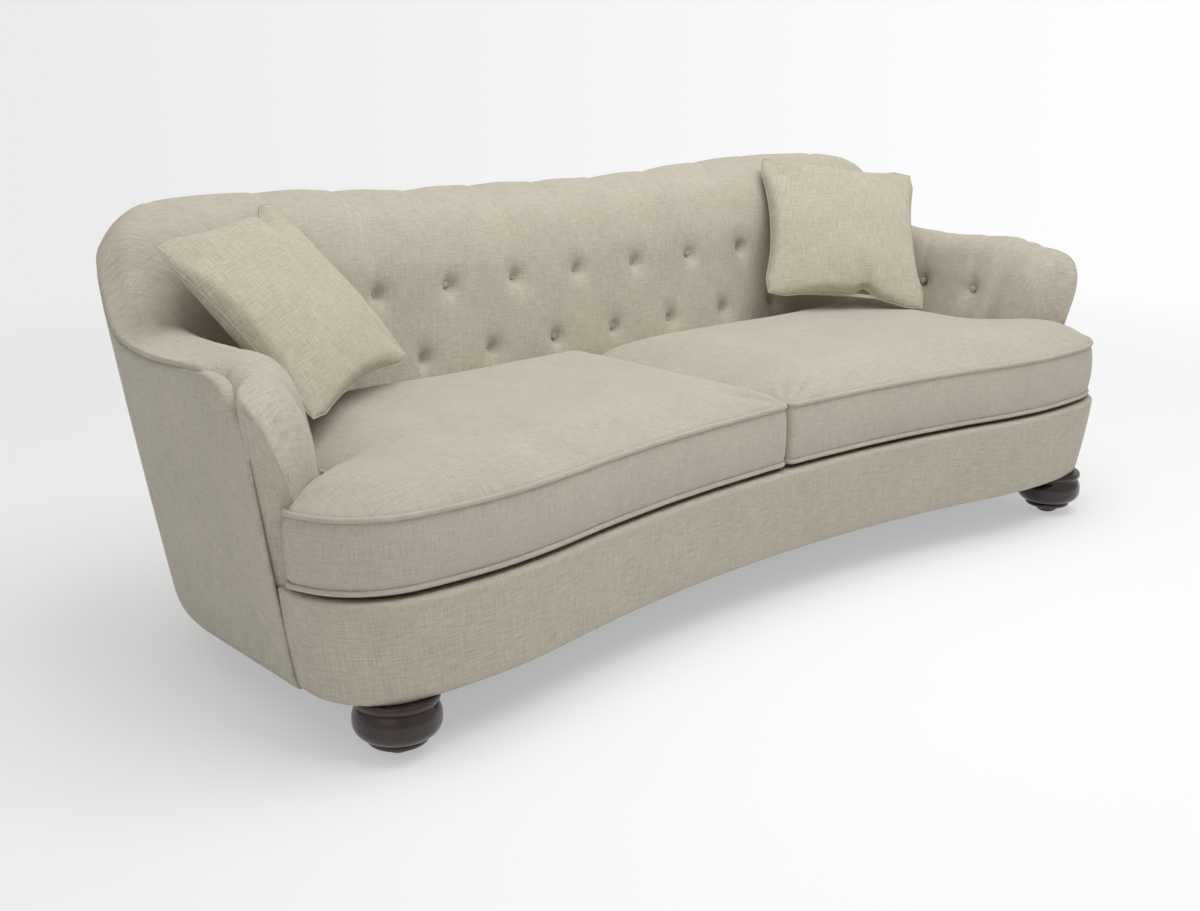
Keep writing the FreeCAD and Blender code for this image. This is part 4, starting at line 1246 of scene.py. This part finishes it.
def buttons(name, places, node):
    bm = bmesh.new()
    for place, towards in places:
        verts = [bm.verts.new((r, 0, h)) for r, h in BUTTON]
        edges = [bm.edges.new(pair) for pair in zip(verts, verts[1:])]
        bmesh.ops.spin(bm, geom=verts + edges, cent=(0, 0, 0), axis=(0, 0, 1),
                       angle=2 * math.pi, steps=24, use_merge=True, use_duplicate=False)
        fresh = [v for v in bm.verts if not v.tag]
        turn = towards.to_track_quat("Z", "Y").to_matrix().to_4x4()
        turn.translation = place
        bmesh.ops.transform(bm, matrix=turn, verts=fresh)
        for vert in fresh:
            vert.tag = True
    bmesh.ops.remove_doubles(bm, verts=bm.verts, dist=0.00002)
    bmesh.ops.holes_fill(bm, edges=[e for e in bm.edges if e.is_boundary], sides=64)
    bmesh.ops.recalc_face_normals(bm, faces=bm.faces)
    lay_cloth(bm)
    made = show(bm, name, sofa_linen)
    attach(made, "sofa")
    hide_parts(node)


def seated(aim):
    """The point of the cloth nearest to a button's aim, which carries the button."""
    return min((v.co for v in inner.data.vertices), key=lambda co: (co - aim).length_squared)


back_places = []
for at, height in UPPER_ROW + LOWER_ROW:
    ground = seated(Vector((at, back_face(height) + 0.026 - DEPTH, height)))
    back_places.append((ground + Vector((0, -0.0035, 0.0005)), Vector((0, -1, 0.2))))
arm_places = []
for at, height in ARM_ROW:
    side = math.copysign(1, at)
    y = SIDE_START + SIDE_END - abs(at) - DEPTH
    ground = seated(Vector((side * 1.085, y, height)))
    arm_places.append((ground + Vector((-side * 0.0035, 0, 0.0008)), Vector((-side, 0, 0.25))))
buttons("back_button_set", back_places, "back_buttons")
buttons("arm_button_set", arm_places, "arm_buttons")
print("buttons", len(back_places) + len(arm_places))

# %% [markdown]
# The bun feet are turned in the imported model, with their rings and hollows, so their meshes stay.
# Here they get a stain polished nearly black: long grain, small pores and a thin clear coat.

# %% Dark polished wood
def polished_wood():
    paint = Paint(bpy.data.materials.new("espresso_wood"))
    where = paint.coordinates(OBJECT)
    grain = paint.noise(paint.stretched(where, (38, 38, 5)), 1, 5, 0.62)
    pores = paint.noise(paint.stretched(where, (420, 420, 30)), 1, 2, 0.5)
    stops = [(0.25, srgb(24, 13, 10)), (0.55, srgb(40, 22, 16)), (0.8, srgb(62, 36, 27))]
    return paint.finish(
        Base_Color=paint.ramp(grain * 0.8 + pores * 0.2, stops), Roughness=0.24 + pores * 0.10,
        Normal=paint.bump(pores, 0.12, 0.0004), Coat_Weight=0.3, Coat_Roughness=0.12)


espresso = polished_wood()
print("polish", espresso.name)

# %% [markdown]
# The rest of the model keeps its own meshes: timber, webbing, springs, screws and glides. Each gets
# a small procedural finish, read from Object coordinates because those meshes carry no UV map.
# A row gives the finish's name, its dark and pale colours, the scale of its grain along x, y and
# z, its roughness and, for metal, its bump and how metallic it is.

# %% Inner finishes
def grained(name, dark, pale, scale, rough, bump=0.3, metal=0.0):
    paint = Paint(bpy.data.materials.new(name))
    where = paint.coordinates(OBJECT)
    long = paint.noise(paint.stretched(where, scale), 1, 4, 0.6)
    fine = paint.noise(paint.stretched(where, tuple(3 * k for k in scale)), 1, 2, 0.5)
    shade = long * 0.7 + fine * 0.3
    tone = paint.mix(paint.clamp(shade * 1.8 - 0.4), srgb(*dark), srgb(*pale))
    return paint.finish(
        Base_Color=tone, Roughness=rough + fine * 0.1, Metallic=metal,
        Normal=paint.bump(shade, bump, 0.0005))


GRAINS = {
    "frame_wood": ("raw_birch", (168, 132, 92), (206, 174, 132), (9, 90, 90), 0.62),
    "webbing": ("jute_webbing", (134, 108, 74), (186, 160, 118), (600, 600, 600), 0.9),
    "spring_steel": ("spring_steel", (92, 92, 94), (140, 140, 143), (60, 60, 60), 0.36, 0.1, 1.0),
    "steel": ("zinc_steel", (150, 152, 156), (188, 190, 194), (90, 90, 90), 0.34, 0.1, 1.0),
    "deck_cloth": ("deck_cloth", (150, 142, 126), (184, 176, 160), (420, 420, 420), 0.94),
    "dust_cloth": ("dust_cloth", (38, 38, 40), (62, 62, 64), (500, 500, 500), 0.95),
    "linen": ("linen_plain", (166, 158, 141), (208, 201, 186), (380, 380, 380), 0.92),
    "foam": ("seat_foam", (214, 202, 162), (236, 226, 190), (260, 260, 260), 0.95),
    "zip": ("zip_tape", (150, 142, 126), (182, 174, 158), (900, 900, 240), 0.7),
    "pillow_linen": ("pillow_plain", (166, 158, 139), (212, 204, 186), (380, 380, 380), 0.92),
    "fibre": ("pillow_fibre", (222, 222, 220), (244, 244, 242), (140, 140, 140), 0.95),
    "glide_plastic": ("glide_felt", (52, 46, 42), (78, 70, 64), (300, 300, 300), 0.8),
}
finishes = {slot: grained(*row) for slot, row in GRAINS.items()}
finishes["foot_wood"] = espresso
for part in frame["record"]["subparts"]:
    node = frame["nodes"][part["node"]]
    node.data.materials.clear()
    node.data.materials.append(finishes[part["material_slot"]])
print("finishes", len(finishes))
